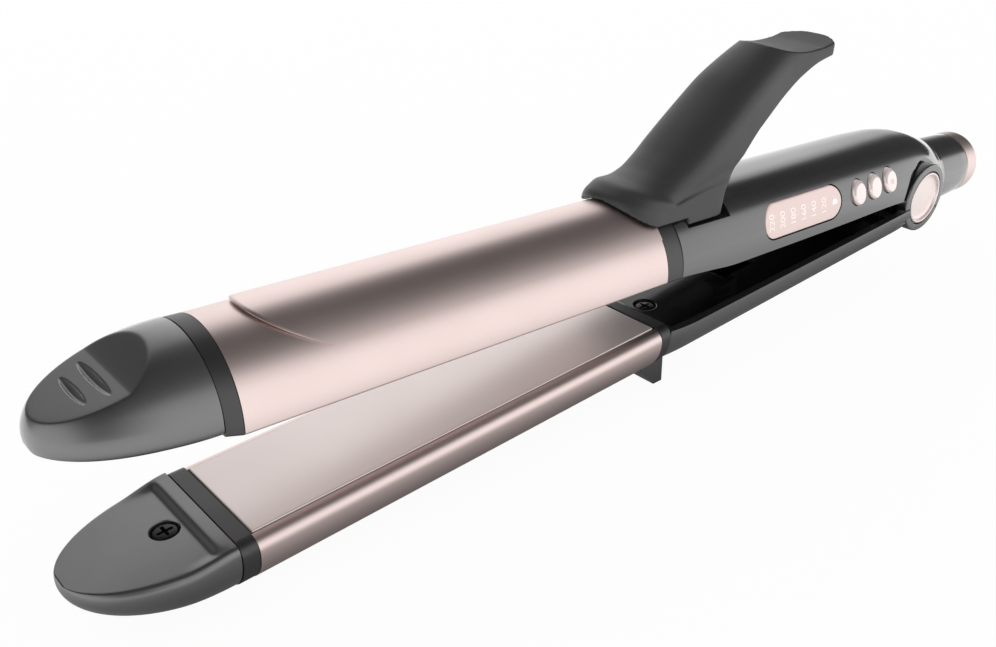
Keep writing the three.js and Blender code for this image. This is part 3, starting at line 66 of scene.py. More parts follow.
METAL_SEAM = 0.05
HINGE_X = 232.7
HINGE_HEIGHT = 0.15
OPEN_ANGLE = 5.21
LOWER_RIM_DROP = 1.3
LOWER_HALF_WIDTH = 17
HANDLE_WALL = 2.2
FLOOR_DROP = 3
COVER_THICKNESS = 1.8
TAIL_HEIGHT = -0.2
UPPER_CENTRE = UPPER_LIP_RISE + UPPER_LIP_DEPTH
BARREL_CREST = UPPER_CENTRE + BARREL_RADIUS
PLATE_HALF = BARREL_RADIUS - LIP_WIDTH - GAP
LOWER_HANDLE_X = BARREL_LENGTH + LOWER_REAR_BAND
UPPER_HANDLE_X = BARREL_LENGTH + UPPER_REAR_BAND
SHOULDER_X = HINGE_X + 21.4
TAIL_END_X = HINGE_X + 45.9
LOCK_RING_X = TAIL_END_X - 6.6
SCREW_RADIUS = 2.6
PIN_BORE = 2.35
TUBE_BORE = 8.2
KNUCKLE_RADIUS = 9.2
KNUCKLE_HALF = 12.8
HINGE_SPOT = (HINGE_X, HINGE_HEIGHT)
HINGE_CENTRE = np.array([HINGE_X, 0, HINGE_HEIGHT])

joints = {joint["name"]: joint for joint in frame["joints"]}
hinge_place = np.array(joints["arm_hinge"]["pos_m"])
tail_direction = np.array(joints["lock_ring_turn"]["axis"])


def turned(direction, degrees):
    """A direction in the X-Z plane turned about +Y: (x cos a + z sin a, z cos a - x sin a)."""
    a = math.radians(degrees)
    x, _, z = direction
    return np.array([x * math.cos(a) + z * math.sin(a), 0, z * math.cos(a) - x * math.sin(a)])


def arm_axes(along):
    """The arm's X, Y and Z directions in the world, one to a row."""
    return np.array([along, [0, 1, 0], [-along[2], 0, along[0]]])


ARMS = {"upper": arm_axes(tail_direction), "lower": arm_axes(turned(tail_direction, -OPEN_ANGLE))}


def in_world(points, arm):
    """Arm millimetres to world metres: turned about the hinge, then set on it."""
    return hinge_place + (np.asarray(points) - [HINGE_X, 0, HINGE_HEIGHT]) @ ARMS[arm] / 1000


# Surfaces: every solid is a pair of vertices and faces in arm millimetres


def closed(verts, quads, triangles):
    """A solid whose faces point out: all of them are turned round if the sum of a.(b x c) is negative."""
    corners = np.concatenate([quads[:, [0, 1, 2]], quads[:, [0, 2, 3]], triangles])
    a, b, c = (verts[corners[:, i]] for i in range(3))
    if np.einsum("ij,ij->", a, np.cross(b, c)) < 0:
        quads, triangles = quads[:, ::-1], triangles[:, ::-1]
    return verts, quads.tolist() + triangles.tolist()


def grid_quads(rows, columns, wrap):
    """Corner numbers of the quads on a grid of points; wrap joins the last column to the first."""
    i, j = np.meshgrid(np.arange(rows - 1), np.arange(columns if wrap else columns - 1), indexing="ij")
    a, b = i * columns + j, i * columns + (j + 1) % columns
    return np.stack([a, b, b + columns, a + columns], -1).reshape(-1, 4)


def skin(rings):
    """A tube of rings closed by a fan to the middle of each end ring."""
    count, around, _ = rings.shape
    verts = np.concatenate([rings.reshape(-1, 3), rings[[0, -1]].mean(1)])
    j = np.arange(around)
    k = (j + 1) % around
    last = (count - 1) * around
    first_end = np.stack([k, j, np.full(around, count * around)], -1)
    last_end = np.stack([last + j, last + k, np.full(around, count * around + 1)], -1)
    return closed(verts, grid_quads(count, around, True), np.concatenate([first_end, last_end]))


def lathe(profile, centre, axis="x", steps=96):
    """(radius, height) pairs turned once round an axis; a closed profile makes a ring."""
    radius, height = np.asarray(profile, float).T
    angle = np.linspace(0, 2 * np.pi, steps, endpoint=False)
    a, b = np.outer(np.cos(angle), radius), np.outer(np.sin(angle), radius)
    h = np.broadcast_to(height, a.shape)
    place = {"x": (h, a, b), "y": (a, h, b), "z": (a, b, h)}[axis]
    rings = np.stack(place, -1) + centre
    if np.allclose(profile[0], profile[-1]):
        rings = rings[:, :-1]
        count, around, _ = rings.shape
        quads = grid_quads(count, around, True)
        joint = np.arange(around)
        ahead = (joint + 1) % around
        last = (count - 1) * around
        seam = np.stack([last + joint, last + ahead, ahead, joint], -1)
        none = np.empty((0, 3), int)
        return closed(rings.reshape(-1, 3), np.concatenate([quads, seam]), none)
    return skin(rings.transpose(1, 0, 2))


def rod(axis, radius, low, high, centre, steps=64):
    """A round bar along X, Y or Z."""
    spot = {"x": (0, *centre), "y": (centre[0], 0, centre[1]), "z": (*centre, 0)}[axis]
    return lathe([(radius, low), (radius, high)], np.array(spot, float), axis, steps)


def prism(outline, low, high, across="x"):
    """An outline carried straight along X (outline in y, z) or along Y (outline in x, z)."""
    points = np.asarray(outline, float)
    rings = []
    for level in (low, high):
        flat = np.full(len(points), float(level))
        order = (flat, points[:, 0], points[:, 1]) if across == "x" else (points[:, 0], flat, points[:, 1])
        rings.append(np.stack(order, -1))
    return skin(np.array(rings))


def block(x0, x1, y0, y1, z0, z1):
    """A box between two corners."""
    return prism([(y0, z0), (y1, z0), (y1, z1), (y0, z1)], x0, x1)


def eased(table, share):
    """Smooth columns through a table's rows: cubic pieces whose slopes never overshoot a row."""
    rows = np.asarray(table, float)
    at, values = rows[:, 0], rows[:, 1:]
    step = np.diff(at)[:, None]
    rise = np.diff(values, axis=0) / step
    before, after = rise[:-1], rise[1:]
    same = before * after > 0
    inner = np.where(same, 2 * before * after / np.where(same, before + after, 1), 0)
    slope = np.concatenate([rise[:1], inner, rise[-1:]])
    x = at[0] + (at[-1] - at[0]) * share
    i = np.clip(np.searchsorted(at, x) - 1, 0, len(at) - 2)
    h = step[i]
    t = ((x - at[i])[:, None]) / h
    made = (
        (1 + 2 * t) * (1 - t) ** 2 * values[i]
        + t * (1 - t) ** 2 * h * slope[i]
        + t**2 * (3 - 2 * t) * values[i + 1]
        - t**2 * (1 - t) * h * slope[i + 1]
    )
    return x, made


def arch(half_width, height, power, steps=72):
    """Rounded arch: y = -w |cos a|^(2/p), height = h sin(a)^(2/p), from one edge to the other."""
    a = np.linspace(0, np.pi, steps + 1)
    c = np.cos(a)
    y = -half_width * np.sign(c) * np.abs(c) ** (2 / power)
    return np.stack([y, height * np.clip(np.sin(a), 0, 1) ** (2 / power)], -1)


def bowl(half_width, height, lip_width, lip_depth, power=2, steps=72, lip_steps=10):
    """An arch whose two edges curl in by a quarter round."""
    a = np.linspace(np.pi / 2, 0, lip_steps, endpoint=False)
    lip = np.stack([-(half_width - lip_width) - lip_width * np.cos(a), lip_depth * (1 - np.sin(a))], -1)
    over = arch(half_width, height - lip_depth, power, steps) + [0, lip_depth]
    return np.concatenate([lip, over, lip[::-1] * [-1, 1]])


def sided(points, edge, side):
    """A bowl turned up or down from its edge plane."""
    return points * [1, side] + [0, edge]


def smooth(share):
    """A run from 0 to 1 that starts and ends level: t^2 (3 - 2 t)."""
    return share * share * (3 - 2 * share)


def soft_floor(value, limit, blend):
    """The smaller of two heights with a rounded crease: (a + b - sqrt((a - b)^2 + r^2)) / 2."""
    return (value + limit - np.sqrt((value - limit) ** 2 + blend**2)) / 2


# Cutting, joining and softening


def as_object(name, solid):
    """An object whose mesh holds a solid's vertices and faces."""
    verts, faces = solid
    mesh = bpy.data.meshes.new(name)
    mesh.from_pydata(np.asarray(verts, float).tolist(), [], faces)
    made = bpy.data.objects.new(name, mesh)
    bpy.context.scene.collection.objects.link(made)
    return made


def shaped(solid, steps):
    """A solid after modifiers: each step is (kind, settings), and a solid in them becomes an object."""
    base = as_object("blank", solid)
    spare = [base]
    for kind, settings in steps:
        step = base.modifiers.new(kind, kind)
        for key, value in settings.items():
            if key == "object":
                value = as_object("tool", value)
                spare.append(value)
            setattr(step, key, value)
    bpy.context.view_layer.update()
    mesh = base.evaluated_get(bpy.context.evaluated_depsgraph_get()).data
    flat = np.empty(len(mesh.vertices) * 3, np.float32)
    mesh.vertices.foreach_get("co", flat)
    faces = [list(face.vertices) for face in mesh.polygons]
    for item in spare:
        data = item.data
        bpy.data.objects.remove(item)
        bpy.data.meshes.remove(data)
    return flat.reshape(-1, 3), faces


def combined(solid, operation, others):
    """A solid after one exact Boolean step with each of the others, in order."""
    settings = {"operation": operation, "solver": "EXACT"}
    return shaped(solid, [("BOOLEAN", {**settings, "object": other}) for other in others])


def less(solid, *tools):
    """A solid with the tools cut from it."""
    return combined(solid, "DIFFERENCE", tools)


def joined(solid, *others):
    """One solid of several that overlap."""
    return combined(solid, "UNION", others)


def softened(solid, voxel, rounds, keep):
    """A moulded look: remade in even small faces, smoothed so that edges round, and thinned where flat."""
    return shaped(
        solid,
        [
            ("REMESH", {"mode": "VOXEL", "voxel_size": voxel}),
            ("SMOOTH", {"factor": 0.5, "iterations": rounds}),
            ("DECIMATE", {"ratio": keep}),
        ],
    )


def bevelled(solid, width, segments=3, angle=40):
    """A solid on which every edge sharper than the angle is rounded."""
    limit = math.radians(angle)
    settings = {"width": width, "segments": segments, "limit_method": "ANGLE", "angle_limit": limit}
    return shaped(solid, [("BEVEL", settings)])


# Materials


def linear(hex_colour, alpha=1.0):
    """sRGB hex to linear: c / 12.92 below 0.04045, otherwise ((c + 0.055) / 1.055) ^ 2.4."""
    c = np.array([int(hex_colour[i : i + 2], 16) for i in (1, 3, 5)]) / 255
    flat = np.where(c <= 0.04045, c / 12.92, ((c + 0.055) / 1.055) ** 2.4)
    return (*flat.tolist(), alpha)


def add_node(tree, kind, settings=(), inputs=()):
    """One node with its settings, and values or other nodes' sockets for its inputs."""
    made = tree.nodes.new(kind)
    for key, value in dict(settings).items():
        setattr(made, key, value)
    for key, value in dict(inputs).items():
        if isinstance(value, bpy.types.NodeSocket):
            tree.links.new(value, made.inputs[key])
        else:
            made.inputs[key].default_value = value
    return made


def finish(
    name, colour, shade, roughness, grain_mm, grain_depth_mm, mottle_mm=9, stretch=1, spread=0.06, **shader
):
    """A finish on object coordinates: a broad mottle drifts from colour to shade and moves the roughness by
    its spread, and a fine grain lifts the surface. Stretch makes the grain that many times longer along X,
    as brushing does."""
    material = bpy.data.materials.new(name)
    material.use_nodes = True
    tree = material.node_tree
    tree.nodes.clear()
    place = add_node(tree, "ShaderNodeTexCoord").outputs["Object"]
    brushed = add_node(
        tree, "ShaderNodeMapping", inputs={"Vector": place, "Scale": (1 / stretch, 1, 1)}
    ).outputs["Vector"]
    broad = add_node(
        tree, "ShaderNodeTexNoise",
        inputs={"Vector": place, "Scale": 1000 / mottle_mm, "Detail": 3, "Roughness": 0.55},
    ).outputs["Fac"]
    fine = add_node(
        tree, "ShaderNodeTexNoise",
        inputs={"Vector": brushed, "Scale": 1000 / grain_mm, "Detail": 2, "Roughness": 0.6},
    ).outputs["Fac"]
    colours = add_node(
        tree, "ShaderNodeMix", {"data_type": "RGBA"},
        {"Factor": broad, "A": linear(colour), "B": linear(shade)},
    ).outputs["Result"]
    smoother, rougher = roughness - spread / 2, roughness + spread / 2
    drift = add_node(
        tree, "ShaderNodeMapRange",
        inputs={"Value": broad, "From Min": 0.3, "From Max": 0.7, "To Min": smoother, "To Max": rougher},
    ).outputs["Result"]
    lift = add_node(
        tree, "ShaderNodeBump", inputs={"Height": fine, "Strength": 0.5, "Distance": grain_depth_mm / 1000}
    ).outputs["Normal"]
    surface = add_node(
        tree, "ShaderNodeBsdfPrincipled",
        inputs={"Base Color": colours, "Roughness": drift, "Normal": lift, **shader},
    )
    add_node(tree, "ShaderNodeOutputMaterial", inputs={"Surface": surface.outputs["BSDF"]})
    return material


# Grains finer than 0.2 mm are drawn at 0.2 to 0.8 mm, as coarse as they need to show

# Charcoal ABS from a finely spark-eroded mould, on the tip caps: a satin that spreads bright and dark into
# each other. Its grain of 0.1 mm is drawn at 0.3 mm
satin_abs = finish(
    "spark_eroded_charcoal_abs", "#252526", "#202021", 0.38, 0.3, 0.003, mottle_mm=14,
    **{"IOR": 1.85, "Specular IOR Level": 1.0, "Coat Weight": 1.0, "Coat Roughness": 0.12, "Coat IOR": 1.45},
)
# Charcoal ABS from a polished mould under clear lacquer, on the handles: it mirrors the edges of bright
# and dark
lacquered_abs = finish(
    "lacquered_charcoal_abs", "#242425", "#202021", 0.13, 0.3, 0.0015, mottle_mm=14, spread=0.03,
    **{"IOR": 1.55, "Specular IOR Level": 1.0, "Coat Weight": 1.0, "Coat Roughness": 0.05, "Coat IOR": 1.6},
)
# Soft-touch lacquer over ABS, on the lever: a broad velvety sheen with no mirrored edges
soft_touch = finish(
    "soft_touch_charcoal_lacquer", "#303031", "#2b2b2c", 0.45, 0.3, 0.006, mottle_mm=14, IOR=1.6
)
# Heat-proof polyester, on the bands: darker than the caps beside it, with a dull shine
band_plastic = finish("dark_heatproof_pbt", "#1f1f20", "#1b1b1c", 0.4, 0.3, 0.004, IOR=1.75)
# Black ABS from a polished mould, on the inner covers: deep black with sharp reflections
gloss_abs = finish("gloss_black_abs", "#0c0c0c", "#0a0a0a", 0.14, 0.8, 0.002, spread=0.03, IOR=1.5)
# Aluminium, finely blasted, anodised and dyed rose gold: a satin metal that blurs the studio into soft bands
rose_metal = finish(
    "rose_anodised_aluminium", "#eedbd7", "#ecd8d4", 0.38, 0.35, 0.0015,
    mottle_mm=25, stretch=6, spread=0.03, Metallic=1.0,
)
# Aluminium plate under a baked ceramic glaze: flatter and greyer than the barrel, with a faint reflection
plate_glaze = finish(
    "ceramic_glazed_aluminium", "#e6dbd8", "#e2d6d3", 0.3, 0.5, 0.002, mottle_mm=30, spread=0.04, Metallic=0.7
)
# Lacquered ABS with pearl flakes, on the keys and the hinge discs: pale pink with a soft metallic gleam
rose_lacquer = finish("rose_pearl_lacquer", "#f8ebe8", "#f6e7e3", 0.26, 0.4, 0.001, Metallic=0.5)
# Acrylic window, tinted rose on its back face: an even pink under a clear shine
window_acrylic = finish("rose_display_acrylic", "#e9d3cf", "#e6cfca", 0.22, 0.6, 0.001, IOR=1.49)
# Turned steel, on pins and springs: bright grey with fine lines along it
turned_steel = finish("turned_steel", "#b4b4b6", "#a8a8aa", 0.3, 0.25, 0.002, stretch=4, Metallic=1.0)
# Black oxide over steel, on the screws: near black with a dull metallic shine
black_oxide = finish("black_oxide_steel", "#121213", "#0e0e0f", 0.3, 0.2, 0.003, Metallic=0.4)
# Sintered alumina, on the heaters: a chalky off-white
alumina = finish("alumina_ceramic", "#e8e4dc", "#ded9cf", 0.6, 0.2, 0.004)
# Moulded glass-filled nylon, on carriers, switches, latch and bush: dark and dull, with a coarse grain
nylon = finish("glass_filled_nylon", "#2b2b2b", "#232323", 0.55, 0.25, 0.01)
# Solder mask over glass-epoxy, on the boards: green with a waxy shine
solder_mask = finish("green_solder_mask", "#1f5c38", "#194d2f", 0.4, 0.4, 0.003)
# Extruded silicone rubber, on the leads: a dull red
silicone = finish("red_silicone_sleeve", "#b03a2e", "#a23429", 0.6, 0.5, 0.006)

SLOTS = {
    "charcoal_plastic": satin_abs,
    "black_gloss": gloss_abs,
    "rose_metal": rose_metal,
    "plate_coating": plate_glaze,
    "rose_plastic": rose_lacquer,
    "display_pink": window_acrylic,
    "steel": turned_steel,
    "dark_steel": black_oxide,
    "heater_ceramic": alumina,
    "heat_plastic": nylon,
    "circuit_board": solder_mask,
    "lead_silicone": silicone,
}
for subpart in frame["record"]["subparts"]:
    node_mesh = frame["nodes"][subpart["node"]].data
    node_mesh.materials.clear()
    node_mesh.materials.append(SLOTS[subpart["material_slot"]])


def piece(name, solid, arm, body, slot, replaces=(), material=None, crease=34):
    """A finished piece: set in the world, smooth but for its creases, painted and riding on its body. Where
    no material is named, it takes the one of its slot."""
    verts, faces = solid
    made = as_object(name, (in_world(verts, arm), faces))
    made.data.materials.append(material or SLOTS[slot])
    made.data.polygons.foreach_set("use_smooth", np.ones(len(made.data.polygons), bool))
    made.data.set_sharp_from_angle(angle=math.radians(crease))
    even = made.modifiers.new("even_shading", "WEIGHTED_NORMAL")
    even.keep_sharp = True
    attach(made, body)
    if replaces:
        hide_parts(*replaces)
    return made


# Tip caps

TIP_RIM_WIDTH = 1.2
TIP_RIM_DEPTH = 1.8
TIP_NOSE_RUN = 0.7
TIP_OUTLINE_POWER = 2.08
LEDGE_START = 2.7
LEDGE_RUN = 1.6
LEDGE_SIDE_RUN = 11
LEDGE_FADE_START = 12.2
LEDGE_FADE_RUN = 2.6


def tip_cap(edge, side, crest, length, fullness, depths, rows=150, steps=110, across=41):
    """Half-dome from the band to the nose: width w (1 - t^2.08)^(1/2.08), height h (1 - t^f)^(1/f), on a flat
    face with a rounded rim. The face lies depths[0] deep at the band and depths[1] at the nose: it eases down
    over the ledge's short run in the middle, and over a long run at the two sides."""
    back = -FRONT_BAND - BAND_SEAM
    reach = length - BAND_SEAM
    ledge_runs = ((-FRONT_BAND - LEDGE_START, LEDGE_RUN), (-FRONT_BAND, LEDGE_SIDE_RUN))
    rings = []
    # The rows crowd towards the nose
    for share in (1 - np.linspace(1, 0, rows) ** 2.2) * 0.9995:
        x = back - share * reach
        middle, sides = (
            edge + side * (depths[0] + (depths[1] - depths[0]) * smooth(np.clip((start - x) / run, 0, 1)))
            for start, run in ledge_runs
        )
        nose = max(0, 1 - (1 - share) * reach / TIP_NOSE_RUN)
        low = sides + side * TIP_RIM_DEPTH * (1 - math.sqrt(1 - nose**2))
        half = max(BARREL_RADIUS * (1 - share**TIP_OUTLINE_POWER) ** (1 / TIP_OUTLINE_POWER), 0.15)
        widest = sides + side * TIP_RIM_DEPTH
        top = abs(crest - widest) * (1 - share**fullness) ** (1 / fullness)
        lip = max(abs(widest - low), 0.02)
        ring = sided(bowl(half, top + lip, min(TIP_RIM_WIDTH, half * 0.4), lip, 2, steps), low, side)
        y = np.linspace(ring[-1, 0], ring[0, 0], across + 2)[1:-1]
        fade = smooth(np.clip((np.abs(y) - LEDGE_FADE_START) / LEDGE_FADE_RUN, 0, 1))
        ring = np.concatenate([ring, np.column_stack([y, low + (middle - sides) * (1 - fade)])])
        rings.append(np.column_stack([np.full(len(ring), x), ring]))
    return np.array(rings)


def screw_hole(x, y, top):
    """The counterbore a screw head sits in, with a broken edge."""
    rim = SCREW_RADIUS + GAP
    profile = [(rim, top - 1.7), (rim, top), (rim + 0.25, top + 0.3), (rim + 0.25, top + 3)]
    return lathe(profile, np.array([x, y, 0.0]), "z")


TIP_SCREW_X = -11.3
TIP_SCREW_TOP = -1.4
lower_cap = skin(tip_cap(0, -1, -BARREL_RADIUS, length=28.4, fullness=1.76, depths=(0, 1.2)))
lower_cap = less(lower_cap, screw_hole(TIP_SCREW_X, 0, TIP_SCREW_TOP))
piece("lower_cap_shell", lower_cap, "lower", "lower_arm", "charcoal_plastic", ["lower_tip_cap"])

# The upper cap is cut by a thumb rest, a plane that falls to the nose and a scoop that rises behind its
# crease, with two grooves across it: how far each lies ahead of the band, and its length
REST_SLOPE = 0.316
REST_CREASE = (-17, 13.5)
REST_SCOOP_RUN = 7.6
REST_SCOOP_RISE = 5.4
REST_ROUNDING = 0.22
GROOVES = ((15.5, 14.4), (19.3, 11.4))
GROOVE_HALF_WIDTH = 0.85
GROOVE_DEPTH = 0.9

upper_cap = tip_cap(
    UPPER_LIP_RISE, 1, BARREL_CREST, length=28.2, fullness=1.97, depths=(1.4, 1.6), rows=270, steps=260
)
cap_x, cap_y, cap_z = upper_cap[..., 0], upper_cap[..., 1], upper_cap[..., 2]
behind_crease = np.clip((cap_x - REST_CREASE[0]) / REST_SCOOP_RUN, 0, 3)
rest_floor = REST_CREASE[1] + np.where(
    cap_x < REST_CREASE[0], (cap_x - REST_CREASE[0]) * REST_SLOPE, REST_SCOOP_RISE * behind_crease**1.12
)
upper_cap[..., 2] = np.where(cap_z > rest_floor - 3, soft_floor(cap_z, rest_floor, REST_ROUNDING), cap_z)
for setback, groove_length in GROOVES:
    across_groove = (cap_x + FRONT_BAND + setback) / GROOVE_HALF_WIDTH
    along_groove = cap_y / (groove_length / 2)
    depth = GROOVE_DEPTH * np.clip(1 - (across_groove**2 + along_groove**2), 0, 1)
    upper_cap[..., 2] -= np.where(cap_z > rest_floor - 1.5, depth, 0)
piece(
    "upper_cap_shell", skin(upper_cap), "upper", "upper_arm", "charcoal_plastic", ["upper_tip_cap"], crease=70
)


# Screws

COVER_SCREW_TOP = -FLOOR_DROP - 0.2
REAR_SCREW_X = LOWER_HANDLE_X + 8
HINGE_SCREW_X = HINGE_X - 22.7
CROSS_HALF_WIDTH = 0.36
CROSS_REACH = 1.65
CROSS_DEPTH = 0.9


def cross_screw(x, top, length):
    """A cross-head screw: a slightly crowned head on a shank, with two slots cut across it."""
    profile = [
        (0.01, top), (1.9, top - 0.05), (2.35, top - 0.2), (SCREW_RADIUS, top - 0.55),
        (SCREW_RADIUS, top - 1.4), (1.4, top - 1.4), (1.4, top - length),
    ]
    slots = [
        block(x - along, x + along, -across, across, top - CROSS_DEPTH, top + 1)
        for along, across in ((CROSS_REACH, CROSS_HALF_WIDTH), (CROSS_HALF_WIDTH, CROSS_REACH))
    ]
    return less(lathe(profile, np.array([x, 0, 0.0]), "z", 48), *slots)


for name, x, top, length in (
    ("front_screw", TIP_SCREW_X, TIP_SCREW_TOP, 11),
    ("rear_screw", REAR_SCREW_X, COVER_SCREW_TOP, 9),
    ("hinge_cover_screw", HINGE_SCREW_X, COVER_SCREW_TOP, 9),
):
    screw = cross_screw(x, top, length)
    piece(f"{name}_turned", screw, "lower", "lower_arm", "dark_steel", [name], crease=30)


# Bands and barrels


def rounded_bar(sections, x0, x1, edge=0.14):
    """A section carried along X, from the first to the last one given, drawn in by a quarter round at both
    ends."""
    a = np.linspace(0, np.pi / 2, 5)
    levels = np.concatenate([x0 + edge * (1 - np.cos(a)), x1 - edge * (1 - np.cos(a[::-1]))])
    inset = edge * (1 - np.sin(np.concatenate([a, a[::-1]])))
    along = ((levels - x0) / (x1 - x0))[:, None, None]
    rings = sections[0] * (1 - along) + sections[-1] * along
    centre = rings.mean(1, keepdims=True)
    reach = np.abs(rings - centre).max()
    rings = centre + (rings - centre) * (1 - inset / reach)[:, None, None]
    return skin(np.dstack([np.broadcast_to(levels[:, None], rings.shape[:2]), rings]))


def upper_section(edge):
    """Outline of the upper bands: a half-round with rolled lips, from its edge up to the crest."""
    return sided(bowl(BARREL_RADIUS, BARREL_CREST - edge, UPPER_LIP_WIDTH, UPPER_LIP_DEPTH), edge, 1)


lower_section = [sided(bowl(BARREL_RADIUS, BARREL_RADIUS, LIP_WIDTH, LOWER_LIP_DEPTH), 0, -1)]
front_taper = [upper_section(UPPER_LIP_RISE + 1), upper_section(UPPER_LIP_RISE)]
front_ends = (-FRONT_BAND + BAND_SEAM, -METAL_SEAM)
rear_start = BARREL_LENGTH + METAL_SEAM
for name, sections, ends, arm in (
    ("lower_front_band", lower_section, front_ends, "lower"),
    ("lower_rear_band", lower_section, (rear_start, LOWER_HANDLE_X), "lower"),
    ("upper_front_band", front_taper, front_ends, "upper"),
    ("upper_rear_band", front_taper[1:], (rear_start, UPPER_HANDLE_X), "upper"),
):
    band = rounded_bar(sections, *ends)
    piece(f"{name}_moulding", band, arm, f"{arm}_arm", "charcoal_plastic", [name], band_plastic)


def barrel(edge, side, height, lip_width, lip_depth):
    """The half-round sheet: an outer bowl and the bowl inside it, one wall thickness in."""
    outer = bowl(BARREL_RADIUS, height, lip_width, lip_depth, steps=144)
    inner = bowl(
        BARREL_RADIUS - BARREL_WALL, height - 2 * BARREL_WALL, max(lip_width - BARREL_WALL, 0.1),
        max(lip_depth - BARREL_WALL * 0.9, 0.05), steps=144,
    )
    sheet = np.concatenate([outer, (inner + [0, BARREL_WALL])[::-1]])
    return sided(sheet, edge, side)


def half_pipe(section):
    """A C-shaped sheet along the barrel: side skins of quads, ends of quads from outer to inner edge."""
    around = len(section)
    half = around // 2
    levels = np.array([METAL_SEAM, BARREL_LENGTH - METAL_SEAM])
    verts = np.concatenate([np.column_stack([np.full(around, x), section]) for x in levels])
    sides = grid_quads(2, around, True)
    i = np.arange(half - 1)
    ends = np.stack([i, i + 1, around - 2 - i, around - 1 - i], -1)
    return closed(verts, np.concatenate([sides, ends[:, ::-1], ends + around]), np.empty((0, 3), int))


lower_sheet = barrel(-LOWER_LIP_DROP, -1, BARREL_RADIUS - LOWER_LIP_DROP, LIP_WIDTH, LOWER_LIP_DEPTH)
upper_sheet = barrel(UPPER_LIP_RISE, 1, BARREL_CREST - UPPER_LIP_RISE, UPPER_LIP_WIDTH, UPPER_LIP_DEPTH)
for arm, sheet in (("lower", lower_sheet), ("upper", upper_sheet)):
    piece(f"{arm}_barrel_sheet", half_pipe(sheet), arm, f"{arm}_arm", "rose_metal", [f"{arm}_barrel"])

# Plates, each from the face it meets the other with to its back
for arm, face, back in (
    ("lower", 0, -PLATE_THICKNESS), ("upper", PLATE_MEETING_GAP, PLATE_MEETING_GAP + PLATE_THICKNESS)
):
    slab = block(GAP, BARREL_LENGTH - GAP, -PLATE_HALF, PLATE_HALF, min(face, back), max(face, back))
    slab = bevelled(slab, 0.3, 3)
    piece(f"{arm}_plate_glazed", slab, arm, f"{arm}_arm", "plate_coating", [f"{arm}_plate"], crease=60)


# Lower handle

LOWER_DEPTH = 15.4
LOWER_DEPTH_LOSS = 1.5
LOWER_POWER = 2.06


def lower_body(inset, rows=60):
    """The half-round trough, which widens from the barrel and rises to a round end at the hinge. Its depth
    falls evenly by 1.5 from the band to the hinge."""
    first = LOWER_HANDLE_X + METAL_SEAM
    turn = HINGE_X - 10
    x, made = eased(
        [
            (first, 0, 0), (first + 4, 0.65, 0), (first + 9, 1, 0), (first + 50, 1, 0), (turn, 1, 0),
            (turn + 5, 1, 0.6), (turn + 9, 1, 2.2), (HINGE_X + 4, 1, 5),
        ],
        np.linspace(0, 1, rows),
    )
    rings = []
    for at, (widen, rise) in zip(x, made):
        depth = LOWER_DEPTH - LOWER_DEPTH_LOSS * (at - LOWER_HANDLE_X) / (HINGE_X - LOWER_HANDLE_X)
        half = BARREL_RADIUS + widen * (LOWER_HALF_WIDTH - BARREL_RADIUS) - inset
        section = arch(half, depth - LOWER_RIM_DROP - rise - inset, LOWER_POWER)
        rings.append(np.column_stack([np.full(len(section), at), section * [1, -1] + [0, -LOWER_RIM_DROP]]))
    return skin(np.array(rings))


EAR_OUTER = 16.6
EAR_INNER = 13.3
EAR_RADIUS = 10.6
EAR_CLEARANCE = 9.7
CAP_SEAT_RADIUS = 8.5
CAP_SEAT_DEPTH = 1.6
COVER_HALF = LOWER_HALF_WIDTH - HANDLE_WALL - 0.4
COVER_START = LOWER_HANDLE_X + 2
web = [
    (HINGE_X - 24, -LOWER_RIM_DROP - 3), (HINGE_X - 24, -LOWER_RIM_DROP), (HINGE_X - 9, -LOWER_RIM_DROP),
    (HINGE_X, 0), (HINGE_X, -8), (HINGE_X - 8, -6), (HINGE_X - 24, -4.5),
]
ears, webs = [], []
for low, high in ((-EAR_OUTER, -EAR_INNER), (EAR_INNER, EAR_OUTER)):
    ears.append(bevelled(rod("y", EAR_RADIUS, low, high, HINGE_SPOT, 96), 0.5, 3))
    webs.append(prism(web, max(low, -EAR_OUTER + 0.4), min(high, EAR_OUTER - 0.4), "y"))
lower_hollow = less(lower_body(HANDLE_WALL), block(LOWER_HANDLE_X - 5, COVER_START, -30, 30, -30, 30))
cover_opening = block(COVER_START, HINGE_X + 9, -COVER_HALF, COVER_HALF, -LOWER_RIM_DROP - 6, 5)
trough = less(joined(lower_body(0), *webs), lower_hollow, cover_opening)
# Between the ears there is room for the upper arm's knuckle, open to the tail
knuckle_room = [
    rod("y", EAR_CLEARANCE, -EAR_INNER, EAR_INNER, HINGE_SPOT, 96),
    block(HINGE_X, HINGE_X + 30, -EAR_INNER, EAR_INNER, -12, 30),
]
pin_hole = rod("y", PIN_BORE, -20, 20, HINGE_SPOT)
cap_seats = [
    rod("y", CAP_SEAT_RADIUS, low, low + CAP_SEAT_DEPTH + 1, HINGE_SPOT, 96)
    for low in (-EAR_OUTER - 1, EAR_OUTER - CAP_SEAT_DEPTH)
]
lower_handle = less(joined(trough, *ears), *knuckle_room, pin_hole, *cap_seats)
piece(
    "lower_handle_shell", lower_handle, "lower", "lower_arm", "charcoal_plastic", ["lower_handle"],
    lacquered_abs, crease=30,
)

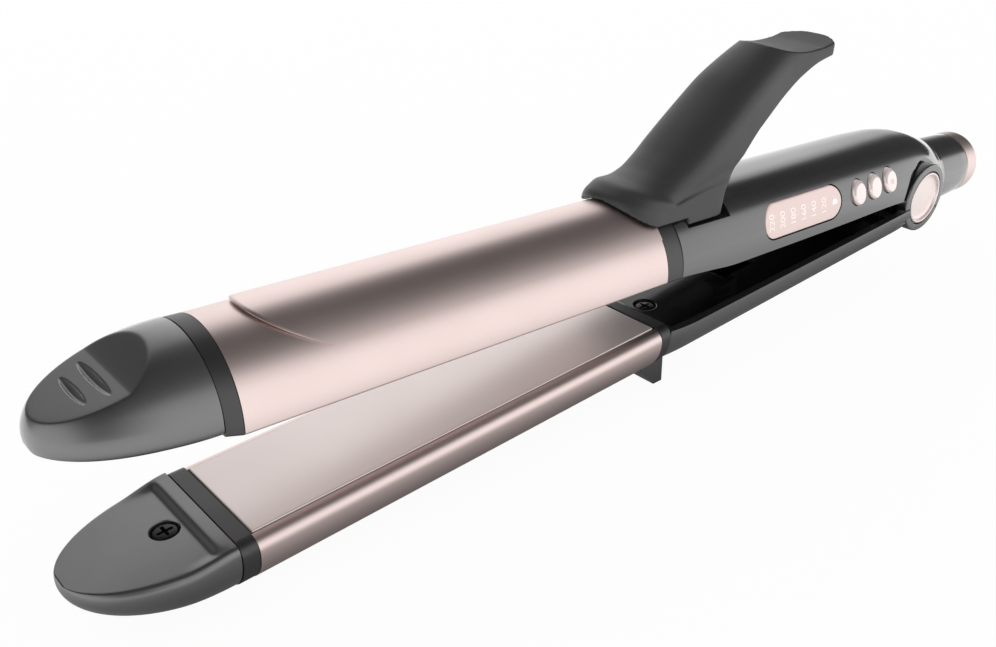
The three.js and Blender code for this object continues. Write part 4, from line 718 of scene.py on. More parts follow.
# Inner cover of the lower handle, with the pocket for the latch hook
POCKET_X = UPPER_HANDLE_X + 33
POCKET_HALF = 4.2
POCKET_FLOOR = -8.6
cover_back = -FLOOR_DROP - COVER_THICKNESS
cover = block(
    COVER_START + GAP, HINGE_X - 10.7, -COVER_HALF + GAP, COVER_HALF - GAP, cover_back, -FLOOR_DROP
)
pocket = block(
    POCKET_X - 5.5, POCKET_X + 14, -POCKET_HALF - 1, POCKET_HALF + 1, POCKET_FLOOR - 1, -FLOOR_DROP - 1
)
lower_cover = less(
    joined(cover, pocket),
    block(POCKET_X, POCKET_X + 13, -POCKET_HALF, POCKET_HALF, POCKET_FLOOR, 5),
    block(POCKET_X - 4.5, POCKET_X + 1, -POCKET_HALF, POCKET_HALF, POCKET_FLOOR, cover_back),
    screw_hole(REAR_SCREW_X, 0, COVER_SCREW_TOP),
    screw_hole(HINGE_SCREW_X, 0, COVER_SCREW_TOP),
)
lower_cover = bevelled(lower_cover, 0.2, 2, 50)
piece(
    "lower_cover_plate", lower_cover, "lower", "lower_arm", "black_gloss", ["lower_inner_cover"], crease=40
)

# Hinge discs: a dished face inside a thin raised rim. The face is flat in the middle and rounds up to the rim
DISC_SEAT = EAR_OUTER - 1.3
DISC_RIM = EAR_OUTER + 0.2
DISC_EDGE = [(8.0, 0.3), (7.93, 0.08), (7.78, 0), (7.45, 0), (7.35, 0.05), (7.28, 0.2)]
DISC_DISH = [(7.15, 0.62), (6.95, 0.88), (6.6, 1.03), (5.8, 1.12), (4.4, 1.17), (2.5, 1.19), (0.02, 1.2)]
disc_profile = [(0.02, DISC_SEAT), (7.9, DISC_SEAT), (8.0, DISC_SEAT + 0.1)]
disc_profile += [(radius, DISC_RIM - depth) for radius, depth in DISC_EDGE + DISC_DISH]
for name, side in (("hinge_cap_near", -1), ("hinge_cap_far", 1)):
    disc = lathe([(radius, side * height) for radius, height in disc_profile], HINGE_CENTRE, "y", 128)
    piece(f"{name}_disc", disc, "lower", "lower_arm", "rose_metal", [name], rose_lacquer, crease=50)

# Stand foot: a wedge under the lower rear band whose sole lies flat on the table
REST_TILT = math.radians(-2.604)
SOLE_X = LOWER_HANDLE_X + 3.1
SOLE_LENGTH = 3.2
SOLE_Z = -21.6
FOOT_HALF = 8.5
FOOT_SEAT_RADIUS = 16.42
wedge = [
    (SOLE_X - 5.2, -12), (SOLE_X - 5.2, -15.6), (SOLE_X, SOLE_Z),
    (SOLE_X + SOLE_LENGTH, SOLE_Z + SOLE_LENGTH * math.tan(REST_TILT)), (SOLE_X + SOLE_LENGTH, -12),
]
band_seat = rod("x", FOOT_SEAT_RADIUS, SOLE_X - 11, LOWER_HANDLE_X + 0.3, (0, 0), 96)
foot = less(prism(wedge, -FOOT_HALF, FOOT_HALF, "y"), band_seat, lower_body(-GAP))
foot = bevelled(foot, 0.3, 3, 50)
piece("stand_foot_moulding", foot, "lower", "lower_arm", "charcoal_plastic", ["stand_foot"])


# Upper handle

UPPER_CREST = 18.1


def upper_body(inset, rows=110, steps=96):
    """The arched shell: width, edge, crest and squareness change along it, down to the round shoulder."""
    first = UPPER_HANDLE_X + METAL_SEAM
    crest = UPPER_CREST
    x, made = eased(
        [
            (first, 16, 2.4, 18.56, 2.08), (first + 10, 16, 1.6, 18.46, 2.3),
            (first + 22, 16, 0.7, crest, 2.55), (first + 45, 16, 0.7, crest, 2.7),
            (first + 75, 16, 0.9, crest - 0.1, 2.7),
            (first + 95, 16, 1.2, crest - 0.1, 2.65), (HINGE_X - 6, 15.8, 0.6, crest - 0.3, 2.6),
            (HINGE_X + 2, 15.4, 0.2, crest - 0.9, 2.5), (HINGE_X + 9, 14.3, 0, crest - 2.5, 2.4),
            (HINGE_X + 14.5, 13.1, -0.1, crest - 4.5, 2.3),
            (HINGE_X + 18.5, 11.9, TAIL_HEIGHT, crest - 6.5, 2.1), (SHOULDER_X, 11.4, TAIL_HEIGHT, 11.2, 2),
        ],
        np.linspace(0, 1, rows),
    )
    rings = []
    for at, (half, edge, top, power) in zip(x, made):
        section = arch(half - inset, top - edge - inset, power, steps)
        rings.append(np.column_stack([np.full(len(section), at), section + [0, edge]]))
    return skin(np.array(rings))


DISPLAY_X0 = UPPER_HANDLE_X + 37.4
DISPLAY_X1 = UPPER_HANDLE_X + 63.4
DISPLAY_Z = 8.4
DISPLAY_HALF = 4.5
DISPLAY_SEAM = 0.38
DISPLAY_BACK = -11.4
KEY_HALF = (3.0, 3.5)
KEY_SEAM = 0.28
KEY_PROUD = 1.15
KEY_STEM_END = -12.9
KEY_SPOTS = [(UPPER_HANDLE_X + 76.4 + 8.3 * i, 9.2 + 0.3 * (i - 1)) for i in range(3)]


def handle_face(z):
    """How far out the handle's side stands at a height: y = -16 (1 - ((z - 0.8) / 17.3)^2.7)^(1 / 2.7)."""
    return -16 * (1 - np.clip((np.asarray(z) - 0.8) / 17.3, 0, 1) ** 2.7) ** (1 / 2.7)


def oval(spot, grow, steps=64):
    """Outline of a key: an ellipse that stands across the handle."""
    a = np.linspace(0, 2 * np.pi, steps, endpoint=False)
    return np.array(spot) + (np.array(KEY_HALF) + grow) * np.stack([np.cos(a), np.sin(a)], -1)


def pill(grow, steps=24):
    """Outline of the display: two half rounds joined by straight edges."""
    a = np.linspace(np.pi / 2, 3 * np.pi / 2, steps + 1)
    radius = DISPLAY_HALF + grow
    left = np.stack([DISPLAY_X0 + radius * np.cos(a), DISPLAY_Z + radius * np.sin(a)], -1)
    right = np.stack([DISPLAY_X1 - radius * np.cos(a), DISPLAY_Z - radius * np.sin(a)], -1)
    return np.concatenate([left, right])


# Room for the clip: the step its lever comes down on, and the well its lugs and pin stand in
CLIP_PIN = (UPPER_HANDLE_X + 15.4, 10.3)
STEP_X = UPPER_HANDLE_X + 4.6
CAVITY_X = UPPER_HANDLE_X + 22.3
CAVITY_END_X = HINGE_X - 9.7
CAVITY_HALF = LOWER_HALF_WIDTH - HANDLE_WALL - 1.4
clip_room = [
    block(UPPER_HANDLE_X - 1, STEP_X, -30, 30, 15, 40),
    block(STEP_X - GAP, UPPER_HANDLE_X + 20.1, -30, 30, 13, 40),
    block(STEP_X, UPPER_HANDLE_X + 21.8, -12, 12, 16.6, 40),
    block(CLIP_PIN[0] - 6.2, CLIP_PIN[0] + 3.7, -8.3, 8.3, 6.6, 40),
    block(UPPER_HANDLE_X + 3, CAVITY_X + 1, -10.5, 10.5, -5, 5.6),
]
# Hinge and tail: pockets for the lower arm's ears, a knuckle between them, the spring's well in its middle,
# and a neck behind it that the tail tube plugs into
EAR_POCKET_RADIUS = 11.7
SPRING_WELL_RADIUS = 12.2
SPRING_WELL_HALF = 6.2
NECK_RADIUS = 11.4
TUBE_SEAT_RADIUS = 9.4
# Level in y where the openings for the display and the keys end, inside the wall
OPENING_END = -9.8
ear_pockets = [
    rod("y", EAR_POCKET_RADIUS, low, high, HINGE_SPOT, 96)
    for low, high in ((-30, -KNUCKLE_HALF), (KNUCKLE_HALF, 30))
]
neck = rod("x", NECK_RADIUS, HINGE_X + 12, SHOULDER_X, (0, TAIL_HEIGHT), 96)
knuckle = rod("y", KNUCKLE_RADIUS, -KNUCKLE_HALF, KNUCKLE_HALF, HINGE_SPOT, 96)
knuckle_web = block(HINGE_X, HINGE_X + 13, -8, 8, -6, 5)
upper_hollow = less(upper_body(HANDLE_WALL), block(0, CAVITY_X, -40, 40, -40, 40))
upper_handle = less(
    joined(less(upper_body(0), *ear_pockets), neck, knuckle, knuckle_web),
    upper_hollow,
    block(UPPER_HANDLE_X + 6, CAVITY_END_X, -CAVITY_HALF, CAVITY_HALF, -5, 4.1),
    block(CAVITY_X, CAVITY_END_X, -CAVITY_HALF, CAVITY_HALF, -5, 8),
)
upper_handle = less(
    joined(upper_handle, knuckle),
    *clip_room,
    rod("y", SPRING_WELL_RADIUS, -SPRING_WELL_HALF, SPRING_WELL_HALF, HINGE_SPOT, 96),
    rod("y", PIN_BORE, -30, 30, HINGE_SPOT),
    rod("x", TUBE_SEAT_RADIUS, HINGE_X + 13, SHOULDER_X + 5, (0, TAIL_HEIGHT)),
    rod("x", TUBE_BORE, HINGE_X + 5, SHOULDER_X + 5, (0, TAIL_HEIGHT)),
    prism(pill(DISPLAY_SEAM), -30, OPENING_END, "y"),
    *[prism(oval(spot, KEY_SEAM), -30, OPENING_END, "y") for spot in KEY_SPOTS],
)
piece(
    "upper_handle_shell", upper_handle, "upper", "upper_arm", "charcoal_plastic", ["upper_handle"],
    lacquered_abs, crease=30,
)

# Display window, curved with the handle's side: rings from its back to the middle of its face, each with how
# far it is drawn in and how far it lies behind the side
WINDOW_RINGS = [(0, 0.3), (0.05, 0.12), (0.16, 0.02), (0.35, 0), (1.2, 0), (2.2, 0), (3.3, 0), (4.46, 0)]
back = pill(0, 40)
window_rings = [np.stack([back[:, 0], np.full(len(back), DISPLAY_BACK), back[:, 1]], -1)]
for inset, sunk in WINDOW_RINGS:
    outline = pill(-inset, 40)
    window_rings.append(np.stack([outline[:, 0], handle_face(outline[:, 1]) + sunk, outline[:, 1]], -1))
window = skin(np.array(window_rings))
piece("display_window_lens", window, "upper", "upper_arm", "display_pink", ["display_window"], crease=50)


def glowing(name, colour, strength):
    """White print that glows, a little unevenly: the display's figures are lit from behind, and on the keys' marks
    the glow is painted light.
    """
    material = bpy.data.materials.new(name)
    material.use_nodes = True
    tree = material.node_tree
    tree.nodes.clear()
    place = add_node(tree, "ShaderNodeTexCoord").outputs["Object"]
    cloud = add_node(tree, "ShaderNodeTexNoise", inputs={"Vector": place, "Scale": 900}).outputs["Fac"]
    glow = add_node(
        tree, "ShaderNodeMapRange",
        inputs={"Value": cloud, "To Min": strength * 0.9, "To Max": strength * 1.1},
    ).outputs["Result"]
    lit = linear(colour)
    surface = add_node(
        tree, "ShaderNodeBsdfPrincipled",
        inputs={"Base Color": lit, "Roughness": 0.4, "Emission Color": lit, "Emission Strength": glow},
    )
    add_node(tree, "ShaderNodeOutputMaterial", inputs={"Surface": surface.outputs["BSDF"]})
    return material


figure_and_mark_glow = glowing("backlit_figures_and_painted_mark_glow", "#fdf1ed", 0.06)
lamp_glow = glowing("white_lamp_glow", "#ffffff", 0.9)


FIGURE_DEPTH = 0.04
FIGURE_PROUD = 0.03


def figures(name, text, x, z, size, turn):
    """Plain figures as a thin mesh on the window's face, read from the control side."""
    curve = bpy.data.curves.new(name, "FONT")
    curve.body = text
    curve.size = size
    curve.align_x = curve.align_y = "CENTER"
    curve.extrude = FIGURE_DEPTH
    label = bpy.data.objects.new(name, curve)
    bpy.context.scene.collection.objects.link(label)
    bpy.context.view_layer.update()
    flat = bpy.data.meshes.new_from_object(label.evaluated_get(bpy.context.evaluated_depsgraph_get()))
    bpy.data.objects.remove(label)
    places = np.empty(len(flat.vertices) * 3)
    flat.vertices.foreach_get("co", places)
    places = places.reshape(-1, 3)
    c, s = math.cos(turn), math.sin(turn)
    across, up = places[:, 0] * c - places[:, 1] * s, places[:, 0] * s + places[:, 1] * c
    verts = np.stack([x + across, handle_face(z + up) - FIGURE_PROUD - places[:, 2], z + up], -1)
    return verts, [list(face.vertices) for face in flat.polygons]


FIGURE_START = DISPLAY_X0 - 1.8
FIGURE_PITCH = 4.75
FIGURE_SIZE = 3.1
LAMP_X = DISPLAY_X1 + 1.2
LAMP_RADIUS = 0.9
for i, text in enumerate(("220", "200", "180", "160", "140", "120")):
    label = figures(
        f"figure_{text}", text, FIGURE_START + FIGURE_PITCH * i, DISPLAY_Z, FIGURE_SIZE, math.pi / 2
    )
    piece(f"figure_{text}", label, "upper", "upper_arm", "display_pink", (), figure_and_mark_glow, crease=20)
lamp_face = float(handle_face(DISPLAY_Z))
lamp = rod("y", LAMP_RADIUS, lamp_face - 0.08, lamp_face + 0.2, (LAMP_X, DISPLAY_Z), 32)
piece("display_lamp", lamp, "upper", "upper_arm", "display_pink", (), lamp_glow)

# Keys: an oval with a broad chamfer, whose face leans back with the handle's side, and an inlaid mark on each
KEY_FACE = [
    (0.02, 0), (1.4, 0), (2.7, 0), (2.8, 0.03), (2.9, 0.1), (3.28, 0.5), (3.4, 0.66), (3.48, 0.85), (3.5, 1.1)
]
KEY_DEPTH = 2.9
KEY_STEM_RADIUS = 1.2
MARK_LENGTH = 2.2
MARK_WIDTH = 0.36
# Power mark: the two radii of its ring, and its bar's width, low end and high end
POWER_RING = (1.25, 0.9)
POWER_BAR = (0.34, 0.5, 1.7)
MARK_SUNK = 0.1
MARK_PROUD = 0.05


def key_lean(solid, spot):
    """Leans a key's face: y grows with height above its middle, as the handle's side does there."""
    verts, faces = solid
    slope = float(handle_face(spot[1] + 1) - handle_face(spot[1] - 1)) / 2
    return verts + np.stack([verts[:, 0] * 0, (verts[:, 2] - spot[1]) * slope, verts[:, 2] * 0], -1), faces


def bar_mark(spot, face, wide, low, high):
    """An upright or level bar let into a key's face, from a low to a high level about the key's middle."""
    left, right = spot[0] - wide / 2, spot[0] + wide / 2
    return block(left, right, face - MARK_PROUD, face + MARK_SUNK, spot[1] + low, spot[1] + high)


def power_arc(spot, face):
    """The open ring of the power mark: an arc of 300 degrees between two radii, open at the top."""
    a = np.radians(np.linspace(120, 420, 41))
    outer, inner = (np.stack([spot[0] + r * np.cos(a), spot[1] + r * np.sin(a)], -1) for r in POWER_RING)
    return prism(np.concatenate([outer, inner[::-1]]), face - MARK_PROUD, face + MARK_SUNK, "y")


for key, spot in zip(("plus", "minus", "power"), KEY_SPOTS):
    face = float(handle_face(spot[1])) - KEY_PROUD
    stem_end = KEY_STEM_END - face
    stem = [
        (KEY_HALF[1], KEY_DEPTH), (KEY_STEM_RADIUS, KEY_DEPTH), (KEY_STEM_RADIUS, stem_end), (0.02, stem_end)
    ]
    centre = np.array([spot[0], face, spot[1]])
    verts, faces = lathe(KEY_FACE + stem, centre, "y", 96)
    verts = (verts - centre) * [KEY_HALF[0] / KEY_HALF[1], 1, 1] + centre
    cap = key_lean((verts, faces), spot)
    piece(f"{key}_key", cap, "upper", f"{key}_key", "rose_plastic", [f"button_{key}"], crease=24)
    level_bar = bar_mark(spot, face, MARK_LENGTH, -MARK_WIDTH / 2, MARK_WIDTH / 2)
    marks = {
        "plus": [level_bar, bar_mark(spot, face, MARK_WIDTH, -MARK_LENGTH / 2, MARK_LENGTH / 2)],
        "minus": [level_bar],
        "power": [power_arc(spot, face), bar_mark(spot, face, *POWER_BAR)],
    }[key]
    # The marks glow faintly like the display's figures: painted light that makes them read lighter than the key's
    # face
    for count, mark in enumerate(marks):
        mark = key_lean(mark, spot)
        piece(f"{key}_mark_{count + 1}", mark, "upper", f"{key}_key", "rose_plastic", (), figure_and_mark_glow)


# Tail tube, lock ring and cord bush: (radius, x) profiles turned about the tail's middle line

TUBE_START = HINGE_X + 13.4
BUSH_START = TAIL_END_X - 16
TAIL_CENTRE = np.array([0, 0, TAIL_HEIGHT])
tube_profile = [
    (TUBE_BORE, TUBE_START), (9.1, TUBE_START), (9.1, SHOULDER_X + GAP), (10.8, SHOULDER_X + GAP),
    (11.1, SHOULDER_X + 0.6), (10.55, LOCK_RING_X - 5), (10.28, LOCK_RING_X - 0.6), (10.0, LOCK_RING_X - GAP),
    (9.3, LOCK_RING_X - GAP), (9.3, TAIL_END_X - 1), (TUBE_BORE, TAIL_END_X - 1), (TUBE_BORE, TUBE_START),
]
tube = lathe(tube_profile, TAIL_CENTRE, "x", 128)
piece(
    "tail_tube_moulding", tube, "upper", "upper_arm", "charcoal_plastic", ["tail_tube"], lacquered_abs,
    crease=40,
)
ring_profile = [
    (9.6, LOCK_RING_X), (10.0, LOCK_RING_X), (10.2, LOCK_RING_X + 0.2), (10.2, LOCK_RING_X + 1),
    (10.12, TAIL_END_X - 0.9), (10.0, TAIL_END_X - 0.4), (9.8, TAIL_END_X - 0.1), (9.6, TAIL_END_X),
    (9.6, LOCK_RING_X),
]
lock_ring = lathe(ring_profile, TAIL_CENTRE, "x", 128)
piece("lock_ring_turned", lock_ring, "upper", "ring", "rose_metal", ["lock_ring"], crease=40)
bush_profile = [
    (3.6, BUSH_START), (7.9, BUSH_START), (7.9, TAIL_END_X - 1.5), (7.4, TAIL_END_X - 1),
    (4.1, TAIL_END_X - 1), (3.6, TAIL_END_X - 1.5), (3.6, BUSH_START),
]
bush = lathe(bush_profile, TAIL_CENTRE, "x", 96)
piece("cord_bush_moulding", bush, "upper", "swivel", "heat_plastic", ["cord_swivel_bush"], crease=40)


# Curling clip

SPOON_START = 8
SPOON_SWEEP = 12.6
SPOON_HALF_ANGLE = 53
SPOON_HALF_ARC = 14.5
SPOON_TONGUE_SHARE = 0.74
SPOON_TONGUE_END = UPPER_HANDLE_X - 2.2
SPOON_TAPER_START = 0.15
SPOON_EDGE_ROUND = 0.2
# How high the sheet's two faces stand over the barrel, along its middle and at its side edges
SPOON_MIDDLE = (0.22, 0.98)
SPOON_SIDE = (0.1, 0.26)


def spoon(columns=120, rows=60):
    """Sheet over the barrel: radius r over an angle a = 53 s degrees each side, front edge at
    8 + 12.6 |s|^2.2. It thins and lies closer towards its two side edges, and a tongue of it runs on under
    the lever."""
    s = np.linspace(-1, 1, columns)[:, None]
    rear = np.where(np.abs(s) < SPOON_TONGUE_SHARE, SPOON_TONGUE_END, BARREL_LENGTH - METAL_SEAM)
    front = SPOON_START + SPOON_SWEEP * np.abs(s) ** 2.2
    share = np.concatenate([np.linspace(0, 0.04, 12), np.linspace(0.04, 1, rows - 12)[1:]])[None, :]
    x = front + (rear - front) * share
    angle = np.pi / 2 - np.radians(SPOON_HALF_ANGLE) * s
    edge = np.minimum(x - front, (1 - np.abs(s)) * SPOON_HALF_ARC)
    ease = SPOON_EDGE_ROUND * np.clip(1 - edge / 0.5, 0, 1) ** 2
    taper = smooth(np.clip((np.abs(s) - SPOON_TAPER_START) / (1 - SPOON_TAPER_START), 0, 1))
    layers = []
    for middle, side, drawn_in in zip(SPOON_MIDDLE, SPOON_SIDE, (ease, -ease)):
        radius = BARREL_RADIUS + (middle + drawn_in) * (1 - taper) + side * taper
        layers.append(np.stack([x, radius * np.cos(angle), UPPER_CENTRE + radius * np.sin(angle)], -1))
    low, high = layers
    count, along, _ = low.shape
    sheet = grid_quads(count, along, False)
    size = count * along
    rim = np.concatenate(
        [
            np.arange(along), np.arange(1, count) * along + along - 1,
            (count - 1) * along + np.arange(along - 2, -1, -1), np.arange(count - 2, 0, -1) * along,
        ]
    )
    ahead = np.roll(rim, -1)
    edge_quads = np.stack([rim, ahead, ahead + size, rim + size], -1)
    quads = np.concatenate([sheet, sheet[:, ::-1] + size, edge_quads[:, ::-1]])
    return closed(np.concatenate([low.reshape(-1, 3), high.reshape(-1, 3)]), quads, np.empty((0, 3), int))


piece("clip_spoon_sheet", spoon(), "upper", "clip", "rose_metal", ["clip_spoon"], crease=50)

# Stations of the lever from its collar to its pad: x and z of the front, x and z of the rear, half-width,
# share that the rounded front takes, and how far the corners hang below
LEVER = [
    (-14.5, 8, 18, 8, 12.3, 0.3, 0), (-14.5, 15, 18.1, 13.4, 12.2, 0.3, 1),
    (-14.5, 19.4, 18.8, 16.5, 11.9, 0.31, 2.4), (-14, 21.1, 19.4, 18.5, 11.6, 0.31, 3.3),
    (-12.6, 22.3, 20, 19.8, 11.4, 0.32, 3.5), (-9.8, 23.5, 21, 21.4, 11.3, 0.31, 3.9),
    (-6, 23.6, 22.3, 23.2, 10.7, 0.27, 4), (-1.4, 24.7, 23.6, 24.8, 10.5, 0.24, 4),
    (4.1, 27.6, 24.8, 26.2, 10.7, 0.22, 3.7), (8.8, 31, 26, 27.6, 10.9, 0.24, 3),
    (13.9, 35.1, 27.5, 29.2, 10.8, 0.3, 2), (20.3, 40.2, 30.2, 32, 10.6, 0.38, 1),
    (26.8, 45.3, 34.7, 35.4, 10.2, 0.45, 0), (33.7, 49.5, 41.2, 39.8, 9.5, 0.48, 0),
    (38.3, 52, 48.8, 43.9, 8.9, 0.5, 0), (42.8, 54, 56.8, 46.8, 8.6, 0.5, 0),
    (48.2, 56, 63.2, 48, 8.6, 0.5, 0), (55, 58, 70, 48.8, 8.6, 0.5, 0),
]
# The top of the thumb pad, in x and z
PAD_LINE = [
    (34, 56), (35, 54), (36.7, 52.9), (38.5, 51.8), (44, 50.5), (50.2, 50), (56.2, 50.3), (61.2, 51.2),
    (67, 52.6), (75, 54.5),
]


def lever_horn(rows=150):
    """The horn: at each station the section runs from a rounded front, y = w |cos a|^0.9, to square rear
    corners rounded by a small share of its length."""
    table = np.column_stack([np.arange(len(LEVER)), np.array(LEVER)])
    _, made = eased(table, np.linspace(0, 1, rows))
    fx, fz, rx, rz, half, nose, hang = (column[:, None] for column in made.T)
    a = np.linspace(0, np.pi, 49)
    out = np.sin(a).clip(0) ** 0.9
    nose_share = nose * (1 - out)
    nose_wide = np.sign(np.cos(a)) * np.abs(np.cos(a)) ** 0.9 * np.ones_like(nose)
    nose_drop = (1 - out) * np.ones_like(nose)
    corner = 0.08
    side = np.array(
        [(0.12, 1, 0.86), (0.35, 1, 0.6), (0.6, 1, 0.38), (1 - 1.6 * corner, 1, 0.15),
         (1 - 0.9 * corner, 1 - 0.1 * corner, 0.09), (1 - 0.45 * corner, 1 - 0.35 * corner, 0.05),
         (1 - 0.1 * corner, 1 - 0.9 * corner, 0.02), (1, 1 - 1.6 * corner, 0)]
    )
    side_share = nose + (1 - nose) * side[:, 0]
    wide = side[:, 1] * np.ones_like(nose)
    drop = side[:, 2] * np.ones_like(nose)
    share = np.concatenate([nose_share, side_share, side_share[:, ::-1]], 1)
    y = half * np.concatenate([nose_wide, -wide, wide[:, ::-1]], 1)
    fall = np.concatenate([nose_drop, drop, drop[:, ::-1]], 1)
    x = UPPER_HANDLE_X + fx + (rx - fx) * share
    z = fz + (rz - fz) * share - hang * fall
    return skin(np.stack([x, y, z], -1))


PAD_END_X = UPPER_HANDLE_X + 54
PAD_END_RADIUS = 11.2
LUG_RADIUS = 3.2
LUG_INNER = 3.4
LUG_OUTER = 8
CLIP_PIN_BORE = 1.85
COLLAR_RADIUS = 17.45
pad_x, pad_z = eased(PAD_LINE, np.linspace(0, 1, 60))
pad_line = np.concatenate([np.column_stack([pad_x, pad_z]), [(75, 62), (34, 62)]]) + [UPPER_HANDLE_X, 0]
beyond_pad = less(
    block(PAD_END_X, PAD_END_X + 40, -20, 20, 40, 70), rod("z", PAD_END_RADIUS, 39, 71, (PAD_END_X, 0), 128)
)
lugs = []
for low, high in ((-LUG_OUTER, -LUG_INNER), (LUG_INNER, LUG_OUTER)):
    lugs.append(rod("y", LUG_RADIUS, low, high, CLIP_PIN, 48))
    lugs.append(block(CLIP_PIN[0] - LUG_RADIUS, CLIP_PIN[0] + 1, low, high, CLIP_PIN[1], 15))
horn = less(
    lever_horn(),
    prism(pad_line, -20, 20, "y"),
    beyond_pad,
    rod("x", COLLAR_RADIUS, 0, UPPER_HANDLE_X + 3, (0, UPPER_CENTRE), 160),
    block(0, STEP_X, -30, 30, -10, 15.3),
    block(0, UPPER_HANDLE_X + 40, -30, 30, -10, 13.6),
)
lever = less(joined(horn, *lugs), rod("y", CLIP_PIN_BORE, -13, 13, CLIP_PIN, 48))
lever = softened(lever, voxel=0.27, rounds=9, keep=0.42)
piece(
    "clip_lever_horn", lever, "upper", "clip", "charcoal_plastic", ["clip_lever"], soft_touch, crease=75
)


# Studio: a white floor and world, in which the gloss sees a dark arch along the iron, and two soft boxes

# Level of the world for diffuse light, and of the floor as the camera sees it
DIFFUSE_LEVEL = 0.9
FLOOR_SEEN = 0.95
# Level of the floor in reflections by its distance from the iron's middle line, in metres: a painted shadow, dark
# under the iron and lighter away from it
PAINTED_SHADOW_STOPS = [(0, 0.08), (0.015, 0.16), (0.03, 0.36), (0.05, 0.72), (0.08, 1.0), (0.15, 1.16)]
PAINTED_SHADOW_REACH = 0.15
IRON_HALF = 0.13
# Levels of the world in reflections across the iron: 0 straight below the near side, 0.25 on its horizon,
# 0.5 overhead, 1 on the horizon of the far side
ARCH_STOPS = [
    (0, 1.2), (0.25, 1.2), (0.31, 1.18), (0.34, 1.06), (0.356, 0.84), (0.372, 0.45), (0.389, 0.2),
    (0.42, 0.11), (0.46, 0.08), (0.5, 0.06), (0.6, 0.06), (0.655, 0.08), (0.69, 0.22), (0.72, 0.6),
    (0.755, 0.92), (0.82, 1.14), (0.9, 1.25), (1, 1.25),
]


# Straight runs that the studio is made of: what is read, its value at two ends, and the result there
STUDIO_RUNS = {
    "near_arc": ("turn", -math.pi / 2, math.pi / 2, 0, 0.5),
    "far_rise": ("Y", 0, 1, 0, 0.5),
    "near_fade": ("X", -0.5, -0.05, 0.17, 1),
    "far_fade": ("X", -0.25, 0.42, 0.07, 1),
    "far_share": ("Y", -0.1, 0.1, 0, 1),
    "tip_panel": ("X", -0.66, -0.88, 0, 1.05),
}


def studio_world():
    """Brightness by direction: a dark arch along the iron, bright out to both sides and dim beyond its tip,
    with a bright panel in front of the tip; white for the camera."""
    world = bpy.data.worlds.new("studio")
    world.use_nodes = True
    tree = world.node_tree
    tree.nodes.clear()
    direction = add_node(tree, "ShaderNodeTexCoord").outputs["Generated"]
    parts = add_node(tree, "ShaderNodeSeparateXYZ", inputs={"Vector": direction}).outputs
    near = add_node(tree, "ShaderNodeMath", {"operation": "MULTIPLY"}, {0: parts["Y"], 1: -1.0})
    turn = add_node(
        tree, "ShaderNodeMath", {"operation": "ARCTAN2"}, {0: parts["Z"], 1: near.outputs["Value"]}
    )
    read = {"X": parts["X"], "Y": parts["Y"], "turn": turn.outputs["Value"]}
    runs = {}
    for name, (source, low, high, to_low, to_high) in STUDIO_RUNS.items():
        ends = {"From Min": low, "From Max": high, "To Min": to_low, "To Max": to_high}
        run = add_node(tree, "ShaderNodeMapRange", inputs={"Value": read[source], **ends})
        runs[name] = run.outputs["Result"]
    across = add_node(
        tree, "ShaderNodeMath", {"operation": "ADD"}, {0: runs["near_arc"], 1: runs["far_rise"]}
    ).outputs["Value"]
    ramp = add_node(tree, "ShaderNodeValToRGB", inputs={"Fac": across})
    while len(ramp.color_ramp.elements) < len(ARCH_STOPS):
        ramp.color_ramp.elements.new(0.5)
    for element, (place, level) in zip(ramp.color_ramp.elements, ARCH_STOPS):
        element.position, element.color = place, (level, level, level, 1)
    fade = add_node(
        tree, "ShaderNodeMix", {"data_type": "FLOAT"},
        {"Factor": runs["far_share"], "A": runs["near_fade"], "B": runs["far_fade"]},
    ).outputs["Result"]
    arch_level = add_node(
        tree, "ShaderNodeMath", {"operation": "MULTIPLY"}, {0: ramp.outputs["Color"], 1: fade}
    ).outputs["Value"]
    level = add_node(
        tree, "ShaderNodeMath", {"operation": "MAXIMUM"}, {0: arch_level, 1: runs["tip_panel"]}
    ).outputs["Value"]
    ray = add_node(tree, "ShaderNodeLightPath").outputs
    through = add_node(
        tree, "ShaderNodeMath", {"operation": "MAXIMUM"},
        {0: ray["Is Camera Ray"], 1: ray["Is Transmission Ray"]},
    ).outputs["Value"]
    plain, arch_seen, white = (
        add_node(
            tree, "ShaderNodeBackground", inputs={"Color": (1, 1, 1, 1), "Strength": strength}
        ).outputs["Background"]
        for strength in (DIFFUSE_LEVEL, level, 1.0)
    )
    lit = add_node(
        tree, "ShaderNodeMixShader", inputs={"Fac": ray["Is Glossy Ray"], 1: plain, 2: arch_seen}
    ).outputs["Shader"]
    seen = add_node(tree, "ShaderNodeMixShader", inputs={"Fac": through, 1: lit, 2: white}).outputs["Shader"]
    add_node(tree, "ShaderNodeOutputWorld", inputs={"Surface": seen})
    bpy.context.scene.world = world


